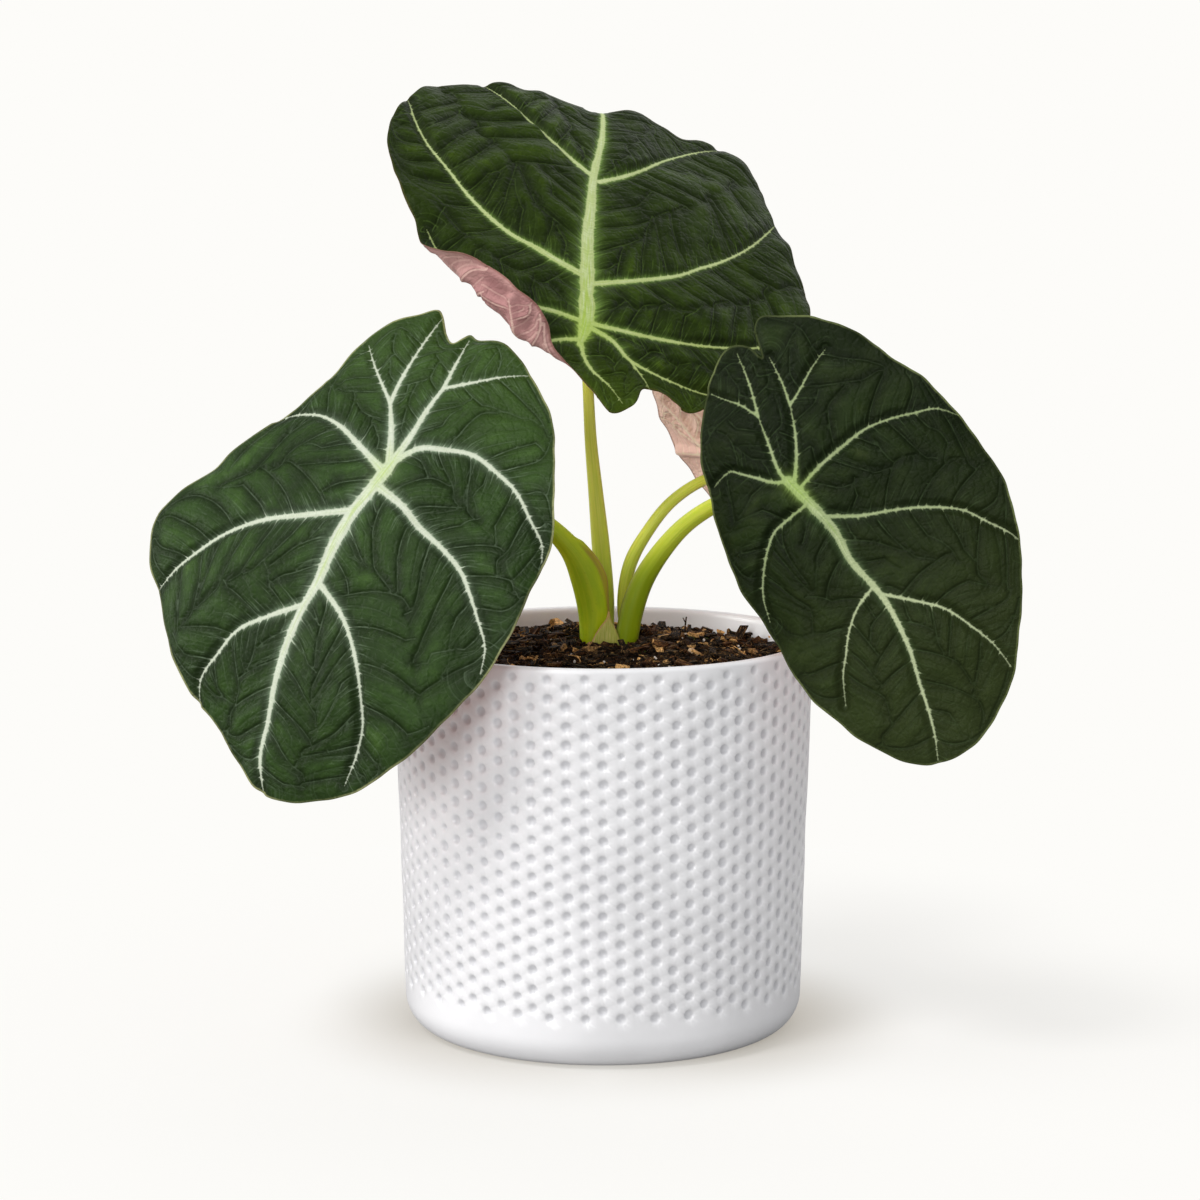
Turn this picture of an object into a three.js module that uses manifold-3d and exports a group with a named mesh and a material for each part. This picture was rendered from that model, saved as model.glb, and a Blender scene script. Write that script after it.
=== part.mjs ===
// Potted black velvet alocasia: four shield-shaped leaves on arching stalks in a white pot.
// Millimetres, +Z up. The origin is the centre of the pot's flat base; -Y is the front.
import * as THREE from 'three';
import { mergeVertices } from 'three/addons/utils/BufferGeometryUtils.js';
import Module from 'manifold-3d';

const wasm = await Module();
wasm.setup();

// Pot
const POT_HEIGHT = 122;
const POT_RIM_RADIUS = 65;
const POT_FOOT_RADIUS = 62;
const POT_FLAT_RADIUS = 53;
const POT_EDGE_HEIGHT = 10;
const POT_WALL = 3.8;
const POT_FLOOR = 7;
const POT_SIDES = 64;

// Soil
const SOIL_EDGE_Z = 114.5;
const SOIL_TOP_Z = 119.8;
const SOIL_GAP = 0.3;
const SOIL_SIDES = 48;
const SOIL_BUMP = 0.9;

// Stem base, standing in a plain hole in the soil
const STEM_X = 2.2;
const STEM_Y = 0.8;
const STEM_RADIUS = 9.4;
const STEM_FOOT_Z = 96;
const STEM_TOP_Z = 119.6;
const SEAT_GAP = 0.3;
const STALK_FOOT_Z = STEM_TOP_Z + SEAT_GAP;

// Leaf sheets
const BLADE_THICKNESS = 0.8;
const BLADE_SAMPLES = 64;
const BLADE_RINGS = [0.07, 0.28, 0.52, 0.74, 0.9, 1];
const BOSS_DEPTH = 1.9;
const BOSS_RADIUS = 4;
const STALK_SIDES = 10;
const STALK_STEPS = 16;

const DEGREES = Math.PI / 180;

function leaf(values) {
  return {
    backBend: 0.003,
    leftBend: 0.004,
    rightBend: 0.004,
    waveHeight: 0.8,
    waveCount: 9,
    wavePhase: 0,
    rings: BLADE_RINGS,
    ...values,
  };
}

// Each blade lies in its own frame: x across it, y from the stalk to the tip, z out of its face.
// junction: where the stalk meets the blade. tip: direction of the midrib. face: way it faces.
// tipBend, backBend, leftBend, rightBend: curvature of the droop, one over millimetres.
// outline: margin of the flattened blade. stalk: points of the stalk's centre line, from its
// foot up, each with its half widths across and deep.
const TOP_LEAF = leaf({
  name: 'leaf_top',
  junction: [-5.5, -5, 217.1],
  tip: [0.112, 0.679, 0.726],
  face: [0.291, -0.721, 0.629],
  tipBend: 0.0033,
  leftBend: 0.002,
  wavePhase: 0.6,
  waveCount: 11,
  curled: true,
  rings: [0.07, 0.28, 0.5, 0.65, 0.73, 0.8, 0.87, 0.94, 1],
  outline: [
    [-2, 121], [3, 113], [12, 116], [20, 113], [27, 111], [35, 113], [46, 111], [54, 104],
    [61, 84], [70, 63], [75, 45], [73, 31], [66, 15], [55, 0], [44, -12], [36, -18],
    [28, -15], [21, -15], [18, -23], [12, -27], [5, -21], [-3, -17], [-12, -18],
    [-22, -21], [-33, -19], [-43, -12], [-49, 1], [-53, 15], [-57, 28], [-63, 40],
    [-68, 55], [-70, 68], [-66, 86], [-58, 99], [-46, 105], [-33, 109], [-27, 107],
    [-18, 111], [-8, 111],
  ],
  stalk: [
    [0.5, 5.4, STALK_FOOT_Z, 2.8, 2.8],
    [0.7, 6.0, 132, 2.8, 2.8],
    [-0.7, 6.2, 149, 2.8, 2.8],
    [-2.3, 6.5, 166, 2.3, 2.3],
    [-3.8, 6.0, 182, 1.9, 1.9],
    [-4.6, 3.2, 198, 1.7, 1.7],
    [-5.2, -1.0, 210, 1.7, 1.7],
  ],
});

const LEFT_LEAF = leaf({
  name: 'leaf_left',
  junction: [-64.6, -32, 177.3],
  tip: [-0.525, -0.43, -0.735],
  face: [-0.291, -0.721, 0.629],
  tipBend: 0.0065,
  backBend: 0.0024,
  rightBend: 0.0035,
  wavePhase: 1.4,
  outline: [
    [-6, 105], [-19, 103], [-33, 96], [-47, 81], [-57, 61], [-63, 38], [-62, 13], [-59, -2],
    [-49, -19], [-38, -35], [-24, -46], [-8, -53], [2, -52], [6, -53], [9, -48], [14, -51],
    [22, -58], [27, -53], [37, -42], [40, -29], [45, -6], [57, 14], [68, 31], [71, 41],
    [66, 55], [50, 71], [33, 84], [15, 94], [3, 101],
  ],
  stalk: [
    [-3.2, -1.6, STALK_FOOT_Z, 3.9, 2.9],
    [-2.9, -1.6, 130, 4.9, 2.6],
    [-5.4, -2.2, 141, 4.9, 2.7],
    [-10.0, -3.2, 149.5, 3.6, 2.8],
    [-17.5, -5.5, 157.5, 2.8, 2.6],
    [-30.0, -10.0, 166.0, 2.3, 2.3],
    [-44.0, -15.5, 171.0, 2.0, 2.0],
    [-56.0, -22.0, 173.0, 1.8, 1.8],
  ],
});

const RIGHT_LEAF = leaf({
  name: 'leaf_right',
  junction: [56.5, -50, 173.5],
  tip: [0.442, -0.377, -0.814],
  face: [-0.332, -0.912, 0.242],
  tipBend: 0.003,
  backBend: 0.004,
  rightBend: 0.01,
  wavePhase: 2.3,
  outline: [
    [-3, 92], [-15, 89], [-27, 81], [-38, 67], [-48, 50], [-54, 30], [-53, 10], [-49, -8],
    [-43, -21], [-36, -35], [-26, -45], [-14, -53], [-11, -51], [-9, -41], [-7, -46],
    [-1, -49], [7, -45], [16, -33], [22, -20], [27, -4], [29, 14], [29, 33], [28, 50],
    [23, 66], [17, 79], [9, 88],
  ],
  stalk: [
    [7.0, -2.9, STALK_FOOT_Z, 3.5, 3.3],
    [9.2, -3.9, 131.5, 3.6, 3.3],
    [12.8, -5.4, 141, 3.3, 3.0],
    [19.4, -8.8, 151.4, 2.9, 2.8],
    [26.0, -12.4, 158.8, 2.6, 2.6],
    [35.0, -18.6, 165.4, 2.4, 2.4],
    [46.0, -29.0, 170.2, 2.1, 2.1],
    [53.6, -40.5, 172.4, 1.9, 1.9],
  ],
});

const BACK_LEAF = leaf({
  name: 'leaf_back',
  junction: [49.4, 21, 173],
  tip: [0.559, 0.05, -0.828],
  face: [0.7, 0.506, 0.503],
  tipBend: 0.004,
  wavePhase: 0.2,
  waveCount: 8,
  outline: [
    [0, 84], [-12, 74], [-24, 58], [-33, 38], [-37, 18], [-37, 0], [-36, -14], [-33, -28],
    [-26, -36], [-17, -37], [-9, -32], [-4, -25], [0, -18], [4, -22], [10, -24], [18, -22],
    [26, -17], [33, -8], [37, 3], [38, 14], [36, 29], [30, 47], [21, 64], [10, 77],
  ],
  stalk: [
    [7.6, 5.0, STALK_FOOT_Z, 2.2, 2.2],
    [6.4, 4.8, 132.5, 2.0, 2.0],
    [8.6, 4.2, 144.4, 2.1, 2.1],
    [13.8, 4.2, 154, 1.9, 1.9],
    [21.0, 5.0, 163, 1.8, 1.8],
    [30.5, 8.0, 169.2, 1.7, 1.7],
    [40.0, 13.0, 171.2, 1.6, 1.6],
  ],
});

function plainGeometry(geometry) {
  const copy = geometry.index ? geometry.toNonIndexed() : geometry.clone();
  copy.deleteAttribute('normal');
  copy.deleteAttribute('uv');
  const merged = mergeVertices(copy, 1e-4);
  const source = merged.index.array;
  const kept = [];
  for (let i = 0; i < source.length; i += 3) {
    const [a, b, c] = [source[i], source[i + 1], source[i + 2]];
    if (a !== b && b !== c && a !== c) kept.push(a, b, c);
  }
  merged.setIndex(kept);
  return merged;
}

function signedVolume(geometry) {
  const p = geometry.attributes.position;
  const index = geometry.index.array;
  const [a, b, c] = [new THREE.Vector3(), new THREE.Vector3(), new THREE.Vector3()];
  let total = 0;
  for (let i = 0; i < index.length; i += 3) {
    a.fromBufferAttribute(p, index[i]);
    b.fromBufferAttribute(p, index[i + 1]);
    c.fromBufferAttribute(p, index[i + 2]);
    total += a.dot(b.cross(c)) / 6;
  }
  return total;
}

function facesOut(geometry) {
  if (signedVolume(geometry) < 0) {
    const index = geometry.index.array;
    for (let i = 0; i < index.length; i += 3) {
      [index[i + 1], index[i + 2]] = [index[i + 2], index[i + 1]];
    }
  }
  geometry.computeVertexNormals();
  return geometry;
}

function indexedGeometry(points, triangles) {
  const geometry = new THREE.BufferGeometry();
  geometry.setAttribute('position', new THREE.Float32BufferAttribute(points, 3));
  geometry.setIndex(triangles);
  return facesOut(geometry);
}

function solidOf(geometry) {
  return new wasm.Manifold(new wasm.Mesh({
    numProp: 3,
    vertProperties: new Float32Array(geometry.attributes.position.array),
    triVerts: new Uint32Array(geometry.index.array),
  }));
}

function geometryOf(solid) {
  const mesh = solid.getMesh();
  return indexedGeometry(Array.from(mesh.vertProperties), Array.from(mesh.triVerts));
}

// A closed turned body about the Z axis, from a profile of radius and height.
function turned(profile, sides) {
  const points = profile.map(([r, z]) => new THREE.Vector2(r, z));
  const lathe = new THREE.LatheGeometry(points, sides);
  lathe.rotateX(Math.PI / 2);
  return facesOut(plainGeometry(lathe));
}

function smoothStep(from, to, value) {
  const t = Math.min(1, Math.max(0, (value - from) / (to - from)));
  return t * t * (3 - 2 * t);
}

// Point of a blade that bends along its midrib and across it, in the blade's own frame.
function bentPoint(blade, x, y) {
  const along = y > 0 ? blade.tipBend : blade.backBend;
  const across = x > 0 ? blade.rightBend : blade.leftBend;
  const turn = along * y;
  const reach = Math.sin(across * Math.abs(x)) / across;
  const drop = (1 - Math.cos(across * Math.abs(x))) / across;
  return new THREE.Vector3(
    Math.sign(x) * reach,
    Math.sin(turn) / along - drop * Math.sin(turn),
    -(1 - Math.cos(turn)) / along - drop * Math.cos(turn),
  );
}

function frameAt(place, x, y) {
  const step = 0.2;
  const dx = place(x + step, y).sub(place(x - step, y)).normalize();
  const dy = place(x, y + step).sub(place(x, y - step)).normalize();
  return { dx, dy, out: new THREE.Vector3().crossVectors(dx, dy).normalize() };
}

// The top leaf's pointed tip hooks down behind its upper margin.
const HOOK_X = -2;
const HOOK_Y = 106;
const HOOK_WIDTH = 6;
const HOOK_RADIUS = 6;

function hookedPoint(blade, x, y) {
  const share = Math.exp(-(((x - HOOK_X) / HOOK_WIDTH) ** 2));
  const beyond = Math.max(0, y - HOOK_Y) * share;
  const turn = beyond / HOOK_RADIUS;
  const spot = bentPoint(blade, x, y - beyond + HOOK_RADIUS * Math.sin(turn));
  spot.z -= HOOK_RADIUS * (1 - Math.cos(turn));
  return spot;
}

// Line on the top leaf along which its lower left margin curls up over the face.
const CURL_START = 1;
const CURL_END = 60;
const CURL_ANGLE = 120 * DEGREES;
const CURL_ARC = 6;

function curlLine(side) {
  return {
    y: -12.4 + 0.5 * (side - 6) + 0.0119 * (side - 6) * (side - 28),
    slope: 0.5 + 0.0119 * (2 * side - 34),
  };
}

function curledPoint(place, x, y) {
  const line = curlLine(-x);
  const scale = Math.hypot(1, line.slope);
  const beyond = (line.y - y) / scale;
  const strength = smoothStep(CURL_START - 8, CURL_START + 8, -x)
    * smoothStep(CURL_END, CURL_END - 14, -x);
  if (beyond <= 0 || strength <= 0) return place(x, y);
  const outward = [-line.slope / scale, -1 / scale];
  const foot = [x - outward[0] * beyond, y - outward[1] * beyond];
  const { dx, dy, out } = frameAt(place, foot[0], foot[1]);
  const aside = dx.multiplyScalar(outward[0]).add(dy.multiplyScalar(outward[1]));
  const angle = CURL_ANGLE * strength;
  const radius = CURL_ARC / angle;
  const arc = Math.min(beyond, CURL_ARC);
  const rest = beyond - arc;
  const turn = arc / radius;
  return place(foot[0], foot[1])
    .addScaledVector(aside, radius * Math.sin(turn) + rest * Math.cos(turn))
    .addScaledVector(out, radius * (1 - Math.cos(turn)) + rest * Math.sin(turn));
}

// A thin closed sheet: rings of the outline shrunk toward the origin, alike on both faces.
function sheetGeometry(outline, place, thicknessBelow, samples, rings, wave) {
  const margin = new THREE.CatmullRomCurve3(
    outline.map(([x, y]) => new THREE.Vector3(x, y, 0)), true, 'centripetal');
  const edge = [];
  for (let i = 0; i < samples; i += 1) {
    edge.push(margin.getPointAt(i / samples));
  }
  const points = [];
  const faces = [[], []];
  const count = 1 + rings.length * samples;
  const spots = [[0, 0, 0, 0]];
  for (const ring of rings) {
    for (let i = 0; i < samples; i += 1) {
      spots.push([edge[i].x * ring, edge[i].y * ring, ring, i / samples]);
    }
  }
  for (const side of [1, -1]) {
    for (const [x, y, ring, turn] of spots) {
      const { out } = frameAt(place, x, y);
      const depth = side > 0 ? BLADE_THICKNESS / 2 : -BLADE_THICKNESS / 2 - thicknessBelow(x, y);
      const spot = place(x, y).addScaledVector(out, depth + wave(ring, turn));
      points.push(spot.x, spot.y, spot.z);
    }
  }
  function quad(list, a, b, c, d) {
    list.push(a, b, c, a, c, d);
  }
  for (let i = 0; i < samples; i += 1) {
    const j = (i + 1) % samples;
    faces[0].push(0, 1 + i, 1 + j);
    for (let k = 0; k + 1 < rings.length; k += 1) {
      const inner = 1 + k * samples;
      const outer = inner + samples;
      quad(faces[0], inner + i, outer + i, outer + j, inner + j);
    }
  }
  for (let i = 0; i < faces[0].length; i += 3) {
    faces[1].push(faces[0][i] + count, faces[0][i + 2] + count, faces[0][i + 1] + count);
  }
  const rim = [];
  const last = 1 + (rings.length - 1) * samples;
  for (let i = 0; i < samples; i += 1) {
    const j = (i + 1) % samples;
    quad(rim, last + i, last + count + i, last + count + j, last + j);
  }
  return indexedGeometry(points, [...faces[0], ...faces[1], ...rim]);
}

// A stalk: oval rings along a smooth line, their long axis carried along from the X direction.
function stalkGeometry(stations, end, endRadius, sides, steps) {
  const all = [...stations, [end.x, end.y, end.z, endRadius, endRadius]];
  const line = new THREE.CatmullRomCurve3(
    all.map(([x, y, z]) => new THREE.Vector3(x, y, z)), false, 'centripetal');
  const sizes = new THREE.CatmullRomCurve3(
    all.map(([, , , wide, deep]) => new THREE.Vector3(wide, deep, 0)), false, 'catmullrom');
  const points = [];
  const triangles = [];
  let across = new THREE.Vector3(1, 0, 0);
  for (let k = 0; k <= steps; k += 1) {
    const t = k / steps;
    const centre = line.getPoint(t);
    const size = sizes.getPoint(t);
    const tangent = k === 0 ? new THREE.Vector3(0, 0, 1) : line.getTangent(t);
    across = across.clone().addScaledVector(tangent, -across.dot(tangent)).normalize();
    const deep = new THREE.Vector3().crossVectors(tangent, across);
    for (let i = 0; i < sides; i += 1) {
      const angle = 2 * Math.PI * i / sides;
      const spot = centre.clone()
        .addScaledVector(across, size.x * Math.cos(angle))
        .addScaledVector(deep, size.y * Math.sin(angle));
      points.push(spot.x, spot.y, spot.z);
    }
  }
  const first = points.length / 3;
  const foot = line.getPoint(0);
  const top = line.getPoint(1);
  points.push(foot.x, foot.y, foot.z, top.x, top.y, top.z);
  for (let i = 0; i < sides; i += 1) {
    const j = (i + 1) % sides;
    for (let k = 0; k < steps; k += 1) {
      const a = k * sides;
      const b = a + sides;
      triangles.push(a + i, a + j, b + j, a + i, b + j, b + i);
    }
    triangles.push(first, j, i);
    triangles.push(first + 1, steps * sides + i, steps * sides + j);
  }
  return indexedGeometry(points, triangles);
}

function leafMesh(blade, material) {
  const tip = new THREE.Vector3(...blade.tip).normalize();
  const face = new THREE.Vector3(...blade.face);
  face.addScaledVector(tip, -face.dot(tip)).normalize();
  const side = new THREE.Vector3().crossVectors(tip, face);
  const frame = new THREE.Matrix4().makeBasis(side, tip, face);
  frame.setPosition(...blade.junction);
  const bent = (x, y) => bentPoint(blade, x, y);
  const hooked = (x, y) => hookedPoint(blade, x, y);
  const place = blade.curled ? (x, y) => curledPoint(hooked, x, y) : bent;
  const boss = (x, y) => BOSS_DEPTH * Math.exp(-(x * x + y * y) / (BOSS_RADIUS * BOSS_RADIUS));
  const wave = (ring, turn) => blade.waveHeight * ring ** 4
    * Math.sin(2 * Math.PI * blade.waveCount * turn + blade.wavePhase);
  const sheet = sheetGeometry(blade.outline, place, boss, BLADE_SAMPLES, blade.rings, wave);
  sheet.applyMatrix4(frame);
  const end = new THREE.Vector3(...blade.junction).addScaledVector(face, -0.9);
  const stalk = stalkGeometry(blade.stalk, end, 1.6, STALK_SIDES, STALK_STEPS);
  const joined = solidOf(sheet).add(solidOf(stalk));
  const mesh = new THREE.Mesh(geometryOf(joined), material);
  mesh.name = blade.name;
  return mesh;
}

function potProfile() {
  const inner = POT_RIM_RADIUS - POT_WALL;
  const innerFoot = POT_FOOT_RADIUS - POT_WALL;
  const profile = [[0, 0], [POT_FLAT_RADIUS, 0]];
  const reach = POT_FOOT_RADIUS - POT_FLAT_RADIUS;
  for (const degrees of [25, 48, 70]) {
    const a = degrees * DEGREES;
    profile.push([POT_FLAT_RADIUS + reach * Math.sin(a), POT_EDGE_HEIGHT * (1 - Math.cos(a))]);
  }
  profile.push([POT_FOOT_RADIUS, POT_EDGE_HEIGHT]);
  profile.push([POT_RIM_RADIUS, POT_HEIGHT - 1.8]);
  profile.push([POT_RIM_RADIUS - 0.5, POT_HEIGHT - 0.6]);
  profile.push([POT_RIM_RADIUS - 1.6, POT_HEIGHT]);
  profile.push([inner + 0.9, POT_HEIGHT - 0.3]);
  profile.push([inner, POT_HEIGHT - 1.8]);
  profile.push([innerFoot, POT_FLOOR + 6]);
  profile.push([innerFoot - 2, POT_FLOOR + 2]);
  profile.push([innerFoot - 6, POT_FLOOR]);
  profile.push([0, POT_FLOOR]);
  return profile;
}

function soilProfile() {
  const inner = POT_RIM_RADIUS - POT_WALL - SOIL_GAP;
  const innerFoot = POT_FOOT_RADIUS - POT_WALL - SOIL_GAP;
  const slope = (inner - innerFoot) / (POT_HEIGHT - 1.8 - POT_FLOOR - 6);
  const edge = innerFoot + slope * (SOIL_EDGE_Z - POT_FLOOR - 6) - 0.1;
  const floor = POT_FLOOR + SOIL_GAP;
  const profile = [[0, floor], [innerFoot - 6.2, floor], [innerFoot - 2.2, floor + 2.2]];
  profile.push([innerFoot - 0.1, floor + 6.2]);
  profile.push([edge, SOIL_EDGE_Z]);
  for (const part of [0.88, 0.74, 0.6, 0.46, 0.32, 0.2]) {
    const z = SOIL_EDGE_Z + (SOIL_TOP_Z - SOIL_EDGE_Z) * smoothStep(1, 0.25, part);
    profile.push([edge * part, z]);
  }
  profile.push([0, SOIL_TOP_Z]);
  return profile;
}

function soilGeometry() {
  const body = turned(soilProfile(), SOIL_SIDES);
  const p = body.attributes.position;
  for (let i = 0; i < p.count; i += 1) {
    const [x, y, z] = [p.getX(i), p.getY(i), p.getZ(i)];
    if (z > SOIL_EDGE_Z - 1) {
      const lump = Math.sin(0.31 * x + 0.9) * Math.cos(0.37 * y) + 0.7 * Math.sin(0.53 * y - 0.47 * x);
      const share = smoothStep(14, 26, Math.hypot(x - STEM_X, y - STEM_Y));
      p.setZ(i, z + SOIL_BUMP * 0.6 * lump * share);
    }
  }
  const depth = SOIL_TOP_Z + 10 - STEM_FOOT_Z + SOIL_GAP;
  const hole = new THREE.CylinderGeometry(STEM_RADIUS + SOIL_GAP, STEM_RADIUS + SOIL_GAP, depth, 28);
  hole.rotateX(Math.PI / 2);
  hole.translate(STEM_X, STEM_Y, STEM_FOOT_Z - SOIL_GAP + depth / 2);
  return geometryOf(solidOf(body).subtract(solidOf(facesOut(plainGeometry(hole)))));
}

function stemGeometry() {
  const rise = STEM_TOP_Z - STEM_FOOT_Z;
  const profile = [
    [0, 0], [STEM_RADIUS - 3, 0], [STEM_RADIUS - 0.6, 3], [STEM_RADIUS, 8],
    [STEM_RADIUS, rise - 1], [STEM_RADIUS - 0.9, rise], [0, rise],
  ];
  const body = turned(profile, 28);
  body.translate(STEM_X, STEM_Y, STEM_FOOT_Z);
  return body;
}

// Papery scale leaf: a small pointed sheet wrapped round the front of the stalks' feet.
const SCALE_RADIUS = 8.4;
const SCALE_RISE = 4.6;
const SCALE_OUTLINE = [
  [-4.6, -4.6], [0, -4.6], [4.4, -4.6], [4.2, -2.4], [3, 0.6], [1.7, 3.4], [1, 6],
  [0, 3.6], [-2, 1], [-3.8, -2],
];

function scaleGeometry() {
  const place = (x, y) => {
    const angle = x / SCALE_RADIUS;
    const radius = SCALE_RADIUS - 0.06 * (y + SCALE_RISE);
    return new THREE.Vector3(
      0.9 + radius * Math.sin(angle), STEM_Y - radius * Math.cos(angle), y + SCALE_RISE);
  };
  const flat = () => 0;
  const sheet = sheetGeometry(SCALE_OUTLINE, place, flat, 28, [0.35, 0.7, 1], flat);
  sheet.translate(0, 0, STALK_FOOT_Z + 0.2);
  return sheet;
}

function named(name, geometry, material) {
  const mesh = new THREE.Mesh(geometry, material);
  mesh.name = name;
  return mesh;
}

const glaze = new THREE.MeshStandardMaterial({ color: '#e9ebee', roughness: 0.38, metalness: 0 });
const bark = new THREE.MeshStandardMaterial({ color: '#3a271b', roughness: 0.95, metalness: 0 });
const stemGreen = new THREE.MeshStandardMaterial({ color: '#9fa64a', roughness: 0.6, metalness: 0 });
const papery = new THREE.MeshStandardMaterial({ color: '#c9b183', roughness: 0.8, metalness: 0 });
const leafGreen = () => new THREE.MeshStandardMaterial({
  color: '#2c3f24', roughness: 0.7, metalness: 0, side: THREE.DoubleSide,
});

const planter = new THREE.Group();
planter.add(named('pot', turned(potProfile(), POT_SIDES), glaze));
planter.add(named('soil', soilGeometry(), bark));

const plant = new THREE.Group();
plant.add(named('stem_base', stemGeometry(), stemGreen));
plant.add(named('scale_leaf', scaleGeometry(), papery));
for (const blade of [TOP_LEAF, LEFT_LEAF, RIGHT_LEAF, BACK_LEAF]) {
  plant.add(leafMesh(blade, leafGreen()));
}

const group = new THREE.Group();
group.add(planter);
group.add(plant);

export default group;
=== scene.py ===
import math
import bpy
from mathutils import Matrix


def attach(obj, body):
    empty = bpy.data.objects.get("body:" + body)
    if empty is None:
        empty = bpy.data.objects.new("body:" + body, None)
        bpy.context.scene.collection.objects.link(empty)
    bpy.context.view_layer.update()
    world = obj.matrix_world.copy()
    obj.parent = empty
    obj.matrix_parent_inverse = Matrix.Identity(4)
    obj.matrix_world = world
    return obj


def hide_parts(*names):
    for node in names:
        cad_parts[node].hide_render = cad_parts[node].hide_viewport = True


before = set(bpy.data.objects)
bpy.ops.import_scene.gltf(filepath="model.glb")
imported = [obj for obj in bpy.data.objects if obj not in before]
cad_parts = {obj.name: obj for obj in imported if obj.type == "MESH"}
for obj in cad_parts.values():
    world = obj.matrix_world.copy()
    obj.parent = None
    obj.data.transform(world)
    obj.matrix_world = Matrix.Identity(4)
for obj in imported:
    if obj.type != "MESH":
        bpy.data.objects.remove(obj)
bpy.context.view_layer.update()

from types import SimpleNamespace

import bmesh
import bpy
import numpy as np
from mathutils import Vector
from mathutils.geometry import delaunay_2d_cdt
from mathutils.kdtree import KDTree

# Lengths are millimetres until a mesh is made, and +Z is up, as in the part's source.
MM = 0.001
TAU = 2 * math.pi


# Numbers and curves

def linear(r, g, b):
    """A colour given as screen values of 0 to 255, as the shader wants it."""
    out = []
    for v in (r, g, b):
        v /= 255
        out.append(v / 12.92 if v <= 0.04045 else ((v + 0.055) / 1.055) ** 2.4)
    return (*out, 1.0)


def colours(**tones):
    return SimpleNamespace(**{name: linear(*tone) for name, tone in tones.items()})


def smooth_step(low, high, value):
    t = np.clip((value - low) / (high - low), 0, 1)
    return t * t * (3 - 2 * t)


def bell(value, width):
    return np.exp(-((value / width) ** 2))


def unit(vectors):
    return vectors / np.linalg.norm(vectors, axis=-1, keepdims=True)


def cubic(a, b, c, d, t, even=False):
    """Points of a Catmull-Rom span from b to c."""
    if even:
        first, last = (c - a) / 2, (d - b) / 2
    else:
        s0, s1, s2 = (max(np.linalg.norm(q - p), 1e-9) ** 0.5 for p, q in ((a, b), (b, c), (c, d)))
        first = ((b - a) / s0 - (c - a) / (s0 + s1) + (c - b) / s1) * s1
        last = ((c - b) / s1 - (d - b) / (s1 + s2) + (d - c) / s2) * s1
    t = t[:, None]
    square = 3 * (c - b) - 2 * first - last
    cube = 2 * (b - c) + first + last
    return b + first * t + square * t ** 2 + cube * t ** 3


def through(points, closed=False, even=False, parts=24):
    """A smooth curve through the points, with the same number of parts in every span."""
    p = np.asarray(points, float)
    n = len(p)
    t = np.arange(parts) / parts
    spans = []
    for i in range(n if closed else n - 1):
        if closed:
            a, b, c, d = (p[(i + k) % n] for k in (-1, 0, 1, 2))
        else:
            b, c = p[i], p[i + 1]
            a = p[i - 1] if i else 2 * b - c
            d = p[i + 2] if i + 2 < n else 2 * c - b
        spans.append(cubic(a, b, c, d, t, even))
    if not closed:
        spans.append(p[-1:])
    return np.concatenate(spans)


def lengths(p):
    return np.concatenate([[0], np.cumsum(np.linalg.norm(np.diff(p, axis=0), axis=1))])


def sampled(values, far, at):
    """Rows of values, known at the lengths far, looked up at other lengths."""
    return np.stack([np.interp(at, far, values[:, k]) for k in range(values.shape[1])], 1)


def stepped(points, step, closed=False):
    """The smooth curve through the points, cut into even steps."""
    p = through(points, closed)
    if closed:
        p = np.concatenate([p, p[:1]])
    far = lengths(p)
    count = max(2, int(round(far[-1] / step)))
    at = np.linspace(0, far[-1], count + 1)
    return sampled(p, far, at[:-1] if closed else at)


def value_noise(p, seed):
    """Smooth random values of about -1 to 1 at points of any number of dimensions."""
    rng = np.random.default_rng(seed)
    total = np.zeros(len(p))
    for _ in range(14):
        way = rng.normal(size=p.shape[1])
        total += np.sin(p @ way + rng.uniform(0, TAU))
    return total / 3.2


def tree_of(points):
    tree = KDTree(len(points))
    for i, (x, y) in enumerate(points):
        tree.insert((x, y, 0), i)
    tree.balance()
    return tree


# Meshes

def mesh_object(name, verts, faces, fields=None, materials=(), material_index=None, flat=False):
    mesh = bpy.data.meshes.new(name)
    verts = np.asarray(verts, np.float32)
    faces = np.asarray(faces, np.int32)
    mesh.vertices.add(len(verts))
    mesh.vertices.foreach_set("co", verts.ravel())
    mesh.loops.add(faces.size)
    mesh.loops.foreach_set("vertex_index", faces.ravel())
    mesh.polygons.add(len(faces))
    mesh.polygons.foreach_set("loop_start", np.arange(len(faces), dtype=np.int32) * faces.shape[1])
    mesh.update(calc_edges=True)
    mesh.polygons.foreach_set("use_smooth", np.full(len(faces), not flat))
    if material_index is not None:
        mesh.polygons.foreach_set("material_index", np.asarray(material_index, np.int32))
    for key, values in (fields or {}).items():
        values = np.asarray(values, np.float32)
        kind = "FLOAT" if values.ndim == 1 else "FLOAT_VECTOR"
        layer = mesh.attributes.new(key, kind, "POINT")
        layer.data.foreach_set("value" if values.ndim == 1 else "vector", values.ravel())
    for material in materials:
        mesh.materials.append(material)
    mesh.validate()
    piece = bpy.data.objects.new(name, mesh)
    bpy.context.scene.collection.objects.link(piece)
    return piece


def finished(piece, node):
    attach(piece, "root")
    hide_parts(node)


def circle(sides):
    return TAU * np.arange(sides) / sides


def ring_at(x, y, z, radius, turn):
    """A level ring round x, y."""
    return np.stack([x + radius * np.cos(turn), y + radius * np.sin(turn), np.full(len(turn), z)], 1)


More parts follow.
